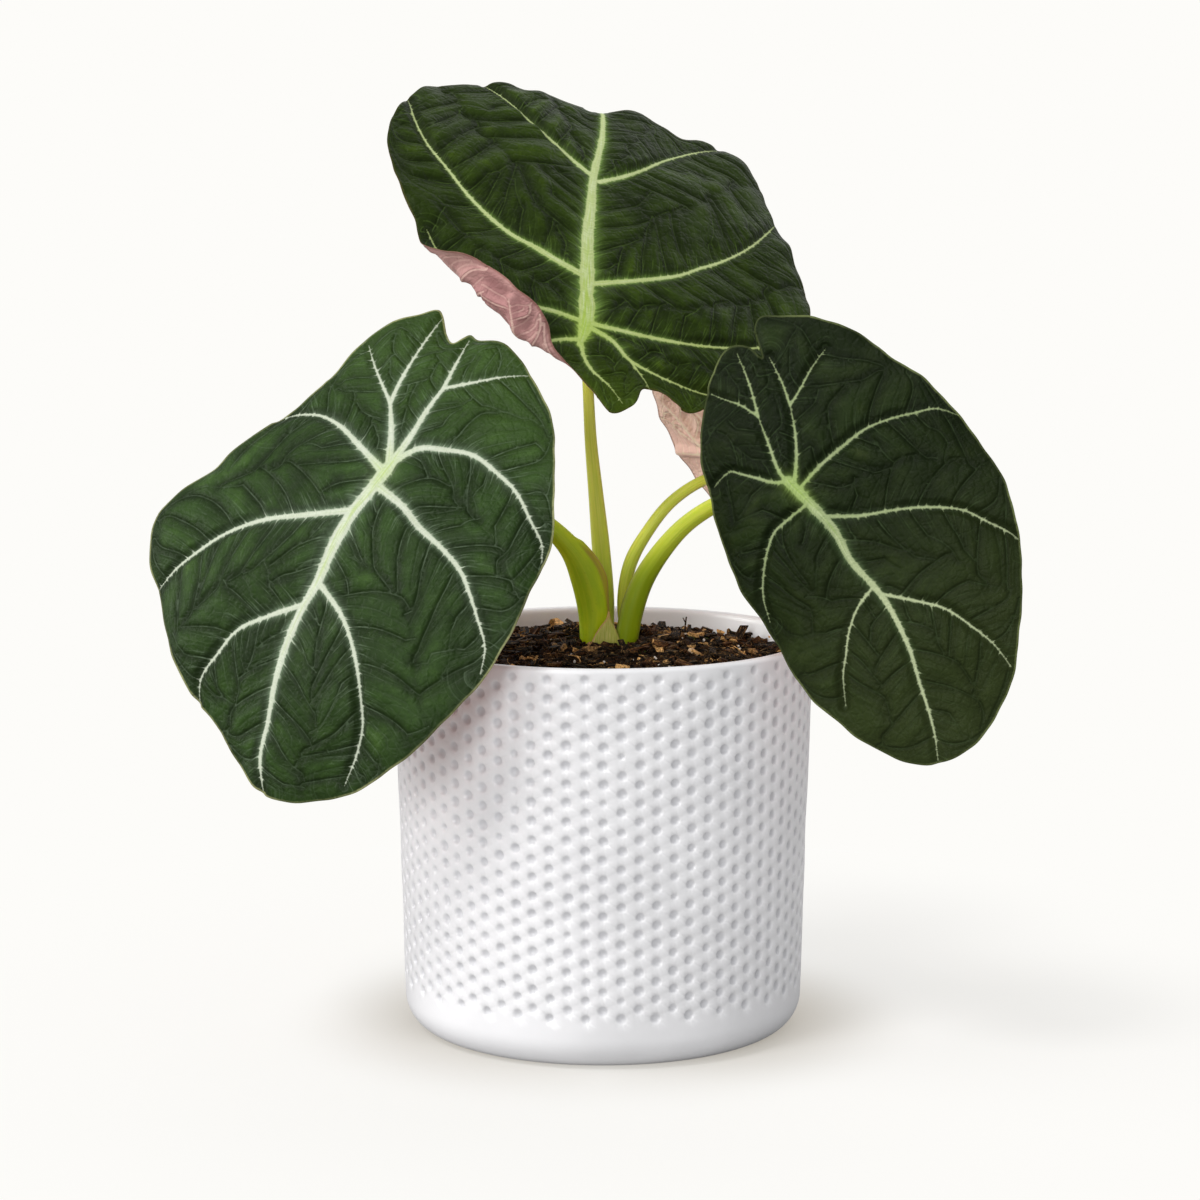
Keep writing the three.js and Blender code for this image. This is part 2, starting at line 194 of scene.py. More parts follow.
def tube_faces(rings, sides, ends=None, flip=False):
    """Triangles between rings of points. The ends stay open, or are closed by two points that come
    after the last ring, or by a fan of each end ring's own points."""
    i = np.arange(sides)
    j = (i + 1) % sides
    last = (rings - 1) * sides
    faces = []
    for a in range(0, last, sides):
        b = a + sides
        faces += [np.stack([a + i, a + j, b + j], 1), np.stack([a + i, b + j, b + i], 1)]
    if ends == "points":
        n = rings * sides
        faces += [np.stack([np.full(sides, n), j, i], 1)]
        faces += [np.stack([np.full(sides, n + 1), last + i, last + j], 1)]
    if ends == "fans":
        faces += [[(0, k + 1, k), (last, last + k, last + k + 1)] for k in range(1, sides - 1)]
    faces = np.concatenate(faces)
    return faces[:, ::-1] if flip else faces


def sheet_net(points, border):
    """Flat triangles over the points. The first ones, as many as border, are the closed edge."""
    loop = [(i, (i + 1) % border) for i in range(border)]
    found = delaunay_2d_cdt([Vector(p) for p in points], loop, [], 1, 1e-5)
    xy = np.array([tuple(v) for v in found[0]])
    tri = np.array(found[2])
    used = np.unique(tri)
    back = np.full(len(xy), -1)
    back[used] = np.arange(len(used))
    xy, tri = xy[used], back[tri]
    a, b, c = xy[tri[:, 0]], xy[tri[:, 1]], xy[tri[:, 2]]
    area = (b[:, 0] - a[:, 0]) * (c[:, 1] - a[:, 1]) - (b[:, 1] - a[:, 1]) * (c[:, 0] - a[:, 0])
    tri[area < 0] = tri[area < 0][:, ::-1]
    return xy, tri[abs(area) > 1e-7]


def sheet_faces(tri, count):
    """Both faces of a thin sheet and the wall round its edge. The lower face's points come second."""
    edges = np.concatenate([tri[:, [0, 1]], tri[:, [1, 2]], tri[:, [2, 0]]])
    key = np.sort(edges, axis=1)
    _, index, times = np.unique(key[:, 0] * count + key[:, 1], return_index=True, return_counts=True)
    p, q = edges[index[times == 1]].T
    wall = [np.stack([p, p + count, q + count], 1), np.stack([p, q + count, q], 1)]
    return np.concatenate([tri, tri[:, ::-1] + count, *wall])


def thin_out(groups, room):
    """Points of the groups in order. Each group has its own least distance from all before it."""
    kept, cells = [], {}
    for group, own in groups:
        for x, y in group:
            column, row = int(x // room), int(y // room)
            around = [p for dx in (-1, 0, 1) for dy in (-1, 0, 1)
                      for p in cells.get((column + dx, row + dy), ())] if own else ()
            if any((a - x) ** 2 + (b - y) ** 2 < own * own for a, b in around):
                continue
            cells.setdefault((column, row), []).append((x, y))
            kept.append((x, y))
    return kept


# Shader nodes

class Shader:
    """A material whose nodes are made by short calls. A value is a number, a colour or a socket."""

    def __init__(self, name):
        self.material = bpy.data.materials.new(name)
        self.material.use_nodes = True
        self.tree = self.material.node_tree
        self.tree.nodes.clear()
        self.out = self.tree.nodes.new("ShaderNodeOutputMaterial")
        self.body = self.tree.nodes.new("ShaderNodeBsdfPrincipled")
        self.tree.links.new(self.body.outputs[0], self.out.inputs["Surface"])

    def feed(self, socket, value):
        if isinstance(value, bpy.types.NodeSocket):
            self.tree.links.new(value, socket)
        else:
            socket.default_value = value

    def node(self, kind, out=0, **inputs):
        made = self.tree.nodes.new(kind)
        for key, value in inputs.items():
            self.feed(made.inputs[key.replace("_", " ")], value)
        return made.outputs[out]

    def place(self):
        """Where a point lies in its own object, in metres."""
        return self.node("ShaderNodeTexCoord", out="Object")

    def field(self, name, out="Fac"):
        made = self.tree.nodes.new("ShaderNodeAttribute")
        made.attribute_name = name
        return made.outputs[out]

    def parts(self, vector):
        made = self.tree.nodes.new("ShaderNodeSeparateXYZ")
        self.feed(made.inputs[0], vector)
        return made.outputs[0], made.outputs[1], made.outputs[2]

    def joined(self, x, y, z):
        return self.node("ShaderNodeCombineXYZ", X=x, Y=y, Z=z)

    def sum(self, operation, a, b=0.0, clamp=False):
        made = self.tree.nodes.new("ShaderNodeMath")
        made.operation = operation
        made.use_clamp = clamp
        self.feed(made.inputs[0], a)
        self.feed(made.inputs[1], b)
        return made.outputs[0]

    def times(self, a, b):
        return self.sum("MULTIPLY", a, b)

    def plus(self, a, b):
        return self.sum("ADD", a, b)

    def level_distance(self, x, y):
        return self.sum("SQRT", self.plus(self.times(x, x), self.times(y, y)))

    def ramp(self, value, low, high, to_low=0.0, to_high=1.0):
        made = self.tree.nodes.new("ShaderNodeMapRange")
        made.interpolation_type = "SMOOTHSTEP"
        for key, v in (("Value", value), ("From Min", low), ("From Max", high),
                       ("To Min", to_low), ("To Max", to_high)):
            self.feed(made.inputs[key], v)
        return made.outputs[0]

    def mix(self, share, a, b):
        made = self.tree.nodes.new("ShaderNodeMix")
        made.data_type = "RGBA"
        made.clamp_factor = True
        self.feed(made.inputs[0], share)
        self.feed(made.inputs[6], a)
        self.feed(made.inputs[7], b)
        return made.outputs[2]

    def noise(self, vector, scale, detail=3.0, rough=0.5, out=0):
        return self.node("ShaderNodeTexNoise", out=out, Vector=vector, Scale=scale, Detail=detail,
                         Roughness=rough)

    def cells(self, vector, scale):
        """Distance to the edges of small cells."""
        made = self.tree.nodes.new("ShaderNodeTexVoronoi")
        made.feature = "DISTANCE_TO_EDGE"
        self.feed(made.inputs["Vector"], vector)
        made.inputs["Scale"].default_value = scale
        return made.outputs["Distance"]

    def scaled(self, vector, x, y, z):
        made = self.tree.nodes.new("ShaderNodeVectorMath")
        made.operation = "MULTIPLY"
        self.feed(made.inputs[0], vector)
        made.inputs[1].default_value = (x, y, z)
        return made.outputs[0]

    def bump(self, height, strength, distance):
        """Relief, with its height in units of distance in metres."""
        made = self.tree.nodes.new("ShaderNodeBump")
        made.inputs["Strength"].default_value = strength
        made.inputs["Distance"].default_value = distance
        self.feed(made.inputs["Height"], height)
        return made.outputs[0]

    def finish(self, **inputs):
        for key, value in inputs.items():
            self.feed(self.body.inputs[key.replace("_", " ")], value)
        return self.material


# Leaves

# Height at which the stalks stand on the stem base.
FOOT = 119.9

# Each leaf, measured in its own flat blade, whose junction with the stalk is 0, 0 and whose midrib
# points along y. tip, face: directions of the midrib's end and of the upper face in the part.
# ..._bend: how much the blade droops along and across the midrib, in radians per mm. waves, phase:
# the margin's waves. hooked: only the top leaf's tip and margin curl. puff, folds, teeth: how much
# the tissue swells, how strong its small relief is, and how long the pale spurs at the veins are.
# wide: factors for the width at both ends and the taper's power, for the midrib and for the others.
# start: the midrib's share of its width at the junction, and the length over which it grows from it.
# leave, arrive: a fine vein's angle in degrees to the main vein it leaves, near it and far from it.
# reach: the distance over which that angle changes. stalk: points up the stalk, each with its two
# half widths. veins: half width at both ends and the points of each main vein.

TOP_LEAF = dict(
    name="leaf_top", seed=11, junction=(-5.5, -5, 217.1), tip=(0.112, 0.679, 0.726),
    face=(0.291, -0.721, 0.629), tip_bend=0.0033, back_bend=0.003, left_bend=0.002,
    right_bend=0.004, waves=11, phase=0.6, hooked=True, puff=0.9, folds=0.56, teeth=0.4,
    wide=((1.08, 0.8, 1.0), (0.85, 0.6, 1.7)), start=(0.35, 9.0),
    leave=(66, 82), arrive=(24, 42), reach=(18, 32),
    outline=[
        [-2, 121], [3, 113], [12, 116], [20, 113], [27, 111], [35, 113], [46, 111], [54, 104],
        [61, 84], [70, 63], [75, 45], [73, 31], [66, 15], [55, 0], [44, -12], [36, -18],
        [28, -15], [21, -15], [18, -23], [12, -27], [5, -21], [-3, -17], [-12, -18], [-22, -21],
        [-33, -19], [-43, -12], [-49, 1], [-53, 15], [-57, 28], [-63, 40], [-68, 55], [-70, 68],
        [-66, 86], [-58, 99], [-46, 105], [-33, 109], [-27, 107], [-18, 111], [-8, 111],
    ],
    stalk=[
        [0.5, 5.4, FOOT, 2.8, 2.8], [0.7, 6, 132, 2.8, 2.8], [-0.7, 6.2, 149, 2.8, 2.8],
        [-2.3, 6.5, 166, 2.3, 2.3], [-3.8, 6, 182, 1.9, 1.9], [-4.6, 3.2, 198, 1.7, 1.7],
        [-5.2, -1, 210, 1.7, 1.7],
    ],
    veins=[
        [2.5, 0.6, [[-1, -6], [0, 3], [-1, 14], [-2, 26], [-3, 39], [-3, 53], [-3, 69], [-1, 92],
                    [-1, 108], [-2, 120]]],
        [1.1, 0.4, [[-1, 67], [6, 73], [13, 81], [21, 92], [29, 101], [36, 108], [40, 112]]],
        [1.2, 0.45, [[0, 19], [10, 24], [19, 29], [28, 35], [35, 42], [42, 49], [51, 61], [57, 72],
                     [62, 83]]],
        [1.1, 0.4, [[0, 3], [11, 4], [20, 5], [30, 7], [40, 10], [49, 14], [58, 19], [66, 26],
                    [72, 35]]],
        [1.1, 0.35, [[0, 2], [9, -1], [15, -6], [22, -8], [31, -9], [40, -9], [48, -7]]],
        [0.6, 0.3, [[15, -6], [20, -11], [24, -16]]],
        [1.0, 0.35, [[-1, -4], [1, -10], [4, -14], [10, -18], [15, -23]]],
        [1.2, 0.4, [[-3, 69], [-10, 75], [-17, 82], [-25, 90], [-31, 97], [-36, 102], [-41, 107]]],
        [1.5, 0.45, [[-1, 21], [-12, 25], [-19, 28], [-27, 31], [-34, 36], [-42, 44], [-50, 55],
                     [-57, 65], [-62, 76], [-65, 87]]],
        [1.1, 0.4, [[0, 3], [-10, 4], [-17, 4], [-22, 5], [-28, 6], [-39, 9], [-47, 15], [-53, 25]]],
        [0.9, 0.35, [[-1, -4], [-7, -6], [-11, -8], [-16, -8], [-24, -11], [-34, -13]]],
    ],
)

LEFT_LEAF = dict(
    name="leaf_left", seed=23, junction=(-64.6, -32, 177.3), tip=(-0.525, -0.43, -0.735),
    face=(-0.291, -0.721, 0.629), tip_bend=0.0065, back_bend=0.0024, left_bend=0.004,
    right_bend=0.0035, waves=9, phase=1.4, hooked=False, puff=0.7, folds=0.55, teeth=0.8,
    wide=((1.08, 0.85, 1.1), (0.9, 0.75, 1.4)), start=(0.7, 4.0),
    leave=(54, 70), arrive=(20, 38), reach=(16, 30),
    outline=[
        [-6, 105], [-19, 103], [-33, 96], [-47, 81], [-57, 61], [-63, 38], [-62, 13], [-59, -2],
        [-49, -19], [-38, -35], [-24, -46], [-8, -53], [2, -52], [6, -53], [9, -48], [14, -51],
        [22, -58], [27, -53], [37, -42], [40, -29], [45, -6], [57, 14], [68, 31], [71, 41],
        [66, 55], [50, 71], [33, 84], [15, 94], [3, 101],
    ],
    stalk=[
        [-3.2, -1.6, FOOT, 3.9, 2.9], [-2.9, -1.6, 130, 4.9, 2.6], [-5.4, -2.2, 141, 4.9, 2.7],
        [-10, -3.2, 149.5, 3.6, 2.8], [-17.5, -5.5, 157.5, 2.8, 2.6], [-30, -10, 166, 2.3, 2.3],
        [-44, -15.5, 171, 2, 2], [-56, -22, 173, 1.8, 1.8],
    ],
    veins=[
        [2.3, 0.55, [[0, -3], [1, 10], [2, 17], [2, 29], [1, 40], [2, 50], [2, 62], [1, 73],
                     [-1, 84], [-2, 95], [-6, 104]]],
        [1.0, 0.4, [[2, 48], [13, 56], [21, 63], [25, 72], [28, 81], [26, 88]]],
        [1.3, 0.45, [[2, 16], [17, 23], [30, 29], [41, 37], [49, 46], [55, 54], [59, 62]]],
        [1.5, 0.4, [[1, 1], [14, -4], [25, -8], [34, -9], [41, -7], [47, -3]]],
        [1.6, 0.8, [[0, -1], [7, -12], [14, -21]]],
        [0.9, 0.35, [[14, -21], [16, -29], [18, -43], [19, -56]]],
        [0.7, 0.3, [[14, -21], [21, -26], [29, -32], [36, -38]]],
        [1.7, 0.9, [[0, -1], [0, -13], [1, -24], [1, -32]]],
        [0.9, 0.4, [[1, -32], [3, -41], [5, -51]]],
        [0.8, 0.3, [[1, -32], [-6, -37], [-14, -43], [-21, -47]]],
        [1.3, 0.4, [[0, -2], [-5, -10], [-13, -13], [-22, -15], [-32, -13], [-41, -10], [-50, -4],
                    [-57, 1], [-60, 6]]],
        [1.4, 0.4, [[0, 6], [-12, 9], [-21, 13], [-31, 16], [-40, 20], [-46, 25], [-52, 31],
                    [-58, 38], [-60, 46]]],
        [1.0, 0.35, [[1, 40], [-11, 46], [-17, 51], [-23, 58], [-28, 66], [-32, 74], [-33, 83],
                     [-32, 93]]],
    ],
)

RIGHT_LEAF = dict(
    name="leaf_right", seed=37, junction=(56.5, -50, 173.5), tip=(0.442, -0.377, -0.814),
    face=(-0.332, -0.912, 0.242), tip_bend=0.003, back_bend=0.004, left_bend=0.004,
    right_bend=0.01, waves=9, phase=2.3, hooked=False, puff=0.8, folds=0.46, teeth=0.5,
    wide=((0.84, 0.5, 1.3), (0.68, 0.65, 1.3)), start=(1.0, 4.0),
    leave=(56, 74), arrive=(20, 38), reach=(16, 30),
    outline=[
        [-3, 92], [-15, 89], [-27, 81], [-38, 67], [-48, 50], [-54, 30], [-53, 10], [-49, -8],
        [-43, -21], [-36, -35], [-26, -45], [-14, -53], [-11, -51], [-9, -41], [-7, -46],
        [-1, -49], [7, -45], [16, -33], [22, -20], [27, -4], [29, 14], [29, 33], [28, 50],
        [23, 66], [17, 79], [9, 88],
    ],
    stalk=[
        [7, -2.9, FOOT, 3.5, 3.3], [9.2, -3.9, 131.5, 3.6, 3.3], [12.8, -5.4, 141, 3.3, 3],
        [19.4, -8.8, 151.4, 2.9, 2.8], [26, -12.4, 158.8, 2.6, 2.6], [35, -18.6, 165.4, 2.4, 2.4],
        [46, -29, 170.2, 2.1, 2.1], [53.6, -40.5, 172.4, 1.9, 1.9],
    ],
    veins=[
        [2.0, 0.45, [[1, -3], [-2, 8], [-4, 17], [-4, 27], [-6, 36], [-7, 42], [-7, 50], [-6, 59],
                     [-4, 67], [-2, 76], [0, 83], [3, 90]]],
        [0.75, 0.3, [[-7, 40], [-15, 47], [-21, 53], [-25, 61], [-28, 69], [-29, 77]]],
        [0.85, 0.35, [[-4, 12], [-13, 17], [-21, 20], [-28, 23], [-35, 27], [-40, 31], [-44, 37],
                      [-48, 43], [-50, 48]]],
        [0.9, 0.35, [[0, 1], [-9, -2], [-19, -4], [-26, -5], [-34, -4], [-41, -2], [-47, 0],
                     [-52, 5]]],
        [1.0, 0.5, [[0, -1], [-5, -9], [-8, -16], [-10, -23]]],
        [0.55, 0.3, [[-10, -23], [-15, -26], [-21, -30], [-27, -33]]],
        [0.55, 0.3, [[-10, -23], [-11, -31], [-11, -40]]],
        [1.0, 0.5, [[0, -1], [2, -6], [1, -16], [0, -25]]],
        [0.6, 0.3, [[0, -25], [-2, -35], [-3, -46]]],
        [0.5, 0.25, [[0, -25], [3, -31], [7, -36], [10, -40]]],
        [0.85, 0.35, [[1, -3], [5, -5], [9, -9], [13, -13], [15, -15], [18, -15], [22, -14]]],
        [0.75, 0.35, [[0, 6], [7, 7], [12, 8], [17, 12], [22, 18], [25, 23], [27, 30]]],
        [0.6, 0.3, [[-6, 37], [1, 40], [7, 45], [11, 50], [15, 55], [19, 63]]],
    ],
)

BACK_LEAF = dict(
    name="leaf_back", seed=41, junction=(49.4, 21, 173), tip=(0.559, 0.05, -0.828),
    face=(0.7, 0.506, 0.503), tip_bend=0.004, back_bend=0.003, left_bend=0.004,
    right_bend=0.004, waves=8, phase=0.2, hooked=False, puff=0.7, folds=0.6, teeth=0.5,
    wide=((1.0, 1.0, 1.0), (0.9, 0.8, 1.3)), start=(0.7, 4.0),
    leave=(56, 74), arrive=(20, 38), reach=(16, 30),
    outline=[
        [0, 84], [-12, 74], [-24, 58], [-33, 38], [-37, 18], [-37, 0], [-36, -14], [-33, -28],
        [-26, -36], [-17, -37], [-9, -32], [-4, -25], [0, -18], [4, -22], [10, -24], [18, -22],
        [26, -17], [33, -8], [37, 3], [38, 14], [36, 29], [30, 47], [21, 64], [10, 77],
    ],
    stalk=[
        [7.6, 5, FOOT, 2.2, 2.2], [6.4, 4.8, 132.5, 2, 2], [8.6, 4.2, 144.4, 2.1, 2.1],
        [13.8, 4.2, 154, 1.9, 1.9], [21, 5, 163, 1.8, 1.8], [30.5, 8, 169.2, 1.7, 1.7],
        [40, 13, 171.2, 1.6, 1.6],
    ],
    veins=[
        [1.8, 0.45, [[0, -2], [0, 12], [-1, 28], [0, 45], [0, 62], [0, 80]]],
        [0.9, 0.35, [[0, 10], [-10, 14], [-19, 20], [-26, 28], [-30, 38]]],
        [0.9, 0.35, [[0, 12], [10, 16], [19, 22], [27, 31], [31, 40]]],
        [0.7, 0.3, [[0, 38], [-8, 43], [-15, 51], [-19, 60]]],
        [0.7, 0.3, [[0, 40], [8, 45], [15, 53], [19, 61]]],
        [0.9, 0.35, [[0, 1], [-11, 0], [-21, 2], [-29, 6], [-35, 13]]],
        [0.9, 0.35, [[0, 1], [11, 1], [21, 4], [29, 9], [35, 16]]],
        [1.0, 0.5, [[0, -1], [-9, -4], [-17, -8], [-22, -14], [-23, -23], [-25, -33]]],
        [0.6, 0.3, [[-17, -8], [-26, -11], [-34, -14]]],
        [0.9, 0.4, [[0, -1], [8, -5], [15, -9], [20, -14], [23, -18]]],
        [0.6, 0.3, [[-9, -4], [-10, -14], [-12, -24], [-14, -33]]],
    ],
)


BLADE = 0.8
BLADE_EDGE = 0.3
GRID = 0.66
VEIN_STEP = 0.6
NET_CELL = 0.9
MEET_SQUARED = 0.85
OLDEST = 170
MIDRIB_FROM = 1.75
VEIN_REACH = 22
HOOK_X, HOOK_Y, HOOK_WIDTH, HOOK_RADIUS = -2, 106, 6, 6
CURL_SLOPE, CURL_BOW, CURL_LENGTH, CURL_ANGLE = 0.5, 0.0119, 6, math.radians(120)
STALK_SIDES, STALK_STEPS, STALK_SINK, STALK_END = 40, 150, 4.0, 1.25


def bent(leaf, x, y):
    """Point of a blade that droops along its midrib and across it, in the blade's own frame."""
    along = np.where(y > 0, leaf["tip_bend"], leaf["back_bend"])
    across = np.where(x > 0, leaf["right_bend"], leaf["left_bend"])
    turn = along * y
    reach = np.sin(across * abs(x)) / across
    drop = (1 - np.cos(across * abs(x))) / across
    return np.stack([
        np.sign(x) * reach,
        np.sin(turn) / along - drop * np.sin(turn),
        -(1 - np.cos(turn)) / along - drop * np.cos(turn),
    ], -1)


def hooked(leaf, x, y):
    """The top leaf's pointed tip hooks down behind its upper margin."""
    beyond = np.maximum(0, y - HOOK_Y) * bell(x - HOOK_X, HOOK_WIDTH)
    turn = beyond / HOOK_RADIUS
    spot = bent(leaf, x, y - beyond + HOOK_RADIUS * np.sin(turn))
    spot[:, 2] -= HOOK_RADIUS * (1 - np.cos(turn))
    return spot


def sheet_frame(place, x, y):
    """Directions across and along the sheet at each point, and out of its face."""
    dx = unit(place(x + 0.2, y) - place(x - 0.2, y))
    dy = unit(place(x, y + 0.2) - place(x, y - 0.2))
    return dx, dy, unit(np.cross(dx, dy))


def curled(leaf, x, y):
    """The top leaf's lower left margin curls up over its face, along a bowed line."""
    def place(a, b):
        return hooked(leaf, a, b)
    spot = place(x, y)
    side = -x
    line = -12.4 + CURL_SLOPE * (side - 6) + CURL_BOW * (side - 6) * (side - 28)
    slope = CURL_SLOPE + CURL_BOW * (2 * side - 34)
    scale = np.hypot(1, slope)
    beyond = (line - y) / scale
    strength = smooth_step(-7, 9, side) * smooth_step(60, 46, side)
    on = (beyond > 0) & (strength > 1e-6)
    if not on.any():
        return spot
    x, y, slope, scale, beyond, strength = (v[on] for v in (x, y, slope, scale, beyond, strength))
    aside_x, aside_y = -slope / scale, -1 / scale
    foot_x, foot_y = x - aside_x * beyond, y - aside_y * beyond
    dx, dy, out = sheet_frame(place, foot_x, foot_y)
    aside = dx * aside_x[:, None] + dy * aside_y[:, None]
    radius = CURL_LENGTH / (CURL_ANGLE * strength)
    arc = np.minimum(beyond, CURL_LENGTH)
    rest = beyond - arc
    turn = arc / radius
    along = radius * np.sin(turn) + rest * np.cos(turn)
    up = radius * (1 - np.cos(turn)) + rest * np.sin(turn)
    spot[on] = place(foot_x, foot_y) + aside * along[:, None] + out * up[:, None]
    return spot


def blade_frame(leaf):
    """The blade's own axes: across it, along its midrib and out of its face."""
    tip = unit(np.array(leaf["tip"], float))
    face = np.array(leaf["face"], float)
    face = unit(face - tip * (face @ tip))
    return np.cross(tip, face), tip, face


def waved_margin(leaf, rng):
    """The margin in even steps, with two rows of small waves in its outline."""
    margin = stepped(leaf["outline"], 0.7, closed=True)
    turn = np.arange(len(margin)) / len(margin)
    for count, size in ((leaf["waves"] * 2 + 1, 0.16), (leaf["waves"] * 5 + 2, 0.07)):
        wave = size * np.sin(TAU * count * turn + rng.uniform(0, TAU))
        margin = margin * (1 + wave / np.linalg.norm(margin, axis=1))[:, None]
    return margin


def main_veins(leaf):
    """Centre line, direction and half width of each main vein, which tapers toward its tip."""
    veins = []
    for first, last, points in leaf["veins"]:
        midrib = first > MIDRIB_FROM
        line = stepped(points, VEIN_STEP)
        far = lengths(line)
        share = far / far[-1]
        grow, shrink, power = leaf["wide"][0 if midrib else 1]
        first, last = first * grow, last * shrink
        half = last + (first - last) * (1 - share) ** power
        if last < 0.6:
            half *= 0.3 + 0.7 * smooth_step(0, 10, (1 - share) * far[-1])
        if midrib:
            start, reach = leaf["start"]
            half *= start + (1 - start) * smooth_step(0, reach, share * far[-1])
        half *= 1 + 0.07 * value_noise(share[:, None] * len(line) * 0.3, len(line) + leaf["seed"])
        veins.append(dict(line=line, half=half, tangent=unit(np.gradient(line, axis=0))))
    return veins


def cell_of(spot):
    return int(spot[0] // NET_CELL), int(spot[1] // NET_CELL)


class Growth:
    """The fine veins of a blade. They bend toward the tips of the main ones and end where they meet.
    The bold ones grow first, and those that reach the middle between two main veins run on along
    it."""

    def __init__(self, leaf, margin, veins):
        self.leaf, self.veins = leaf, veins
        self.rng = np.random.default_rng(leaf["seed"])
        self.point, self.tangent, self.half = (
            np.concatenate([v[key] for v in veins]) for key in ("line", "tangent", "half"))
        self.owner = np.concatenate([np.full(len(v["line"]), i) for i, v in enumerate(veins)])
        self.main = tree_of(self.point)
        self.edge = tree_of(margin)
        self.along_edge = unit(np.roll(margin, -1, axis=0) - np.roll(margin, 1, axis=0))
        self.taken, self.curves, self.bold_tips, self.weak_tips = {}, [], [], []

    def net(self):
        for number in range(len(self.veins)):
            for side in (-1, 1):
                self.start_along(number, side)
        for tips in (self.bold_tips, self.weak_tips):
            while tips:
                tips = self.grown(tips)
        return [dict(c, line=np.array(c["points"])) for c in self.curves if len(c["points"]) > 4]

    def nearest_main(self, spot):
        _, k, gap = self.main.find((*spot, 0))
        return k, gap

    def start_along(self, number, side):
        """Tips that leave one side of a main vein; every few millimetres one of them is bold."""
        vein, rng = self.veins[number], self.rng
        far = lengths(vein["line"])
        at = rng.uniform(1.0, 3.0)
        next_bold = rng.uniform(2.0, 7.0)
        while at < far[-1] - 1:
            k = int(np.searchsorted(far, at))
            t = vein["tangent"][k]
            normal = np.array([-t[1], t[0]]) * side
            near, gap = self.nearest_main(vein["line"][k] + normal * (vein["half"][k] + 1.2))
            if self.owner[near] == number or gap > self.half[near] + 0.9:
                bold = at > next_bold
                if bold:
                    next_bold = at + rng.uniform(6.0, 10.0)
                self.add_tip(number, side, k, normal, bold)
            at += rng.uniform(2.2, 4.6)

    def add_tip(self, number, side, k, normal, bold):
        vein, rng, leaf = self.veins[number], self.rng, self.leaf
        start = vein["line"][k] + normal * vein["half"][k] * 0.6
        tip = dict(
            id=len(self.curves), spot=start, vein=number, side=side, age=0, sway=0.0, bold=bold,
            way=None, first=math.radians(rng.uniform(*leaf["leave"])),
            last=math.radians(rng.uniform(*leaf["arrive"])), reach=rng.uniform(*leaf["reach"]))
        (self.bold_tips if bold else self.weak_tips).append(tip)
        spur = 0.42 * vein["half"][k] + rng.uniform(0.1, 1.1) * (1.5 if bold else 1.0) * leaf["teeth"]
        strength = rng.uniform(0.8, 1.0) if bold else rng.uniform(0.15, 0.5)
        self.add_curve(start, strength, spur, True, bold, side)

    def add_curve(self, start, strength, white, rooted, bold, side):
        """White is how far the main vein's pale colour runs out along a rooted fine one."""
        self.curves.append(dict(points=[start], strength=strength, white=white, rooted=rooted,
                                bold=bold, side=side))

    def grown(self, tips):
        """All tips one step further, without those that end, and with a few new branches."""
        going = []
        for tip in tips:
            spot = self.moved(tip)
            if spot is None:
                continue
            self.taken[cell_of(spot)] = (tip["id"], spot[0], spot[1])
            tip["spot"] = spot
            if tip["age"] > 12:
                tip.pop("from", None)
            strength = self.curves[tip["id"]]["strength"]
            if self.rng.random() < 0.02 and 8 < tip["age"] < 90 and strength > 0.3:
                turn = self.rng.choice([-1, 1]) * math.radians(self.rng.uniform(30, 50))
                child = dict(tip, id=len(self.curves), age=5, sway=turn, bold=False, way=None)
                child["from"] = tip["id"]
                self.add_curve(spot, strength * 0.7, 0.0, False, False, tip["side"])
                going.append(child)
            going.append(tip)
        return going

    def moved(self, tip):
        """One step of a tip. Returns its new place, or nothing where it ends."""
        way, room = self.heading(tip)
        if way is None:
            return None
        spot = tip["spot"] + way * VEIN_STEP
        tip["way"] = way
        tip["age"] += 1
        points = self.curves[tip["id"]]["points"]
        if room < 0.9 or tip["age"] > OLDEST:
            return None
        near, gap = self.nearest_main(spot)
        if self.owner[near] != tip["vein"] and gap < self.half[near] + 0.35 and tip["age"] > 3:
            points.append(self.point[near])
            return None
        met = self.met_by(tip, spot) if tip["age"] > 4 else None
        points.append(spot if met is None else met)
        return spot if met is None else None

    def heading(self, tip):
        """The way in which a tip grows on and its room to the margin, or nothing where it ends."""
        spot, vein = tip["spot"], self.veins[tip["vein"]]
        gaps = vein["line"] - spot
        squared = np.einsum("ij,ij->i", gaps, gaps)
        k = int(squared.argmin())
        d = math.sqrt(squared[k])
        tip["sway"] += self.rng.normal(0, 0.024) - 0.08 * tip["sway"]
        angle = tip["last"] + (tip["first"] - tip["last"]) * math.exp(-d / tip["reach"]) + tip["sway"]
        t = vein["tangent"][k]
        c, s = math.cos(angle), math.sin(angle) * tip["side"]
        way = np.array([t[0] * c - t[1] * s, t[0] * s + t[1] * c])
        near, gap = self.nearest_main(spot)
        if self.owner[near] != tip["vein"] and gap + 0.4 < d and tip["age"] > 3:
            if not tip["bold"]:
                return None, 0
            way = t + self.tangent[near]
            way /= max(np.linalg.norm(way), 1e-6)
        _, e, room = self.edge.find((*spot, 0))
        if room < 9:
            rim = self.along_edge[e] if self.along_edge[e] @ way > 0 else -self.along_edge[e]
            share = 0.85 * float(smooth_step(9.0, 1.5, room))
            way = way * (1 - share) + rim * share
        if tip["way"] is not None:
            way = way * 0.35 + tip["way"] * 0.65
        return way / max(np.linalg.norm(way), 1e-6), room

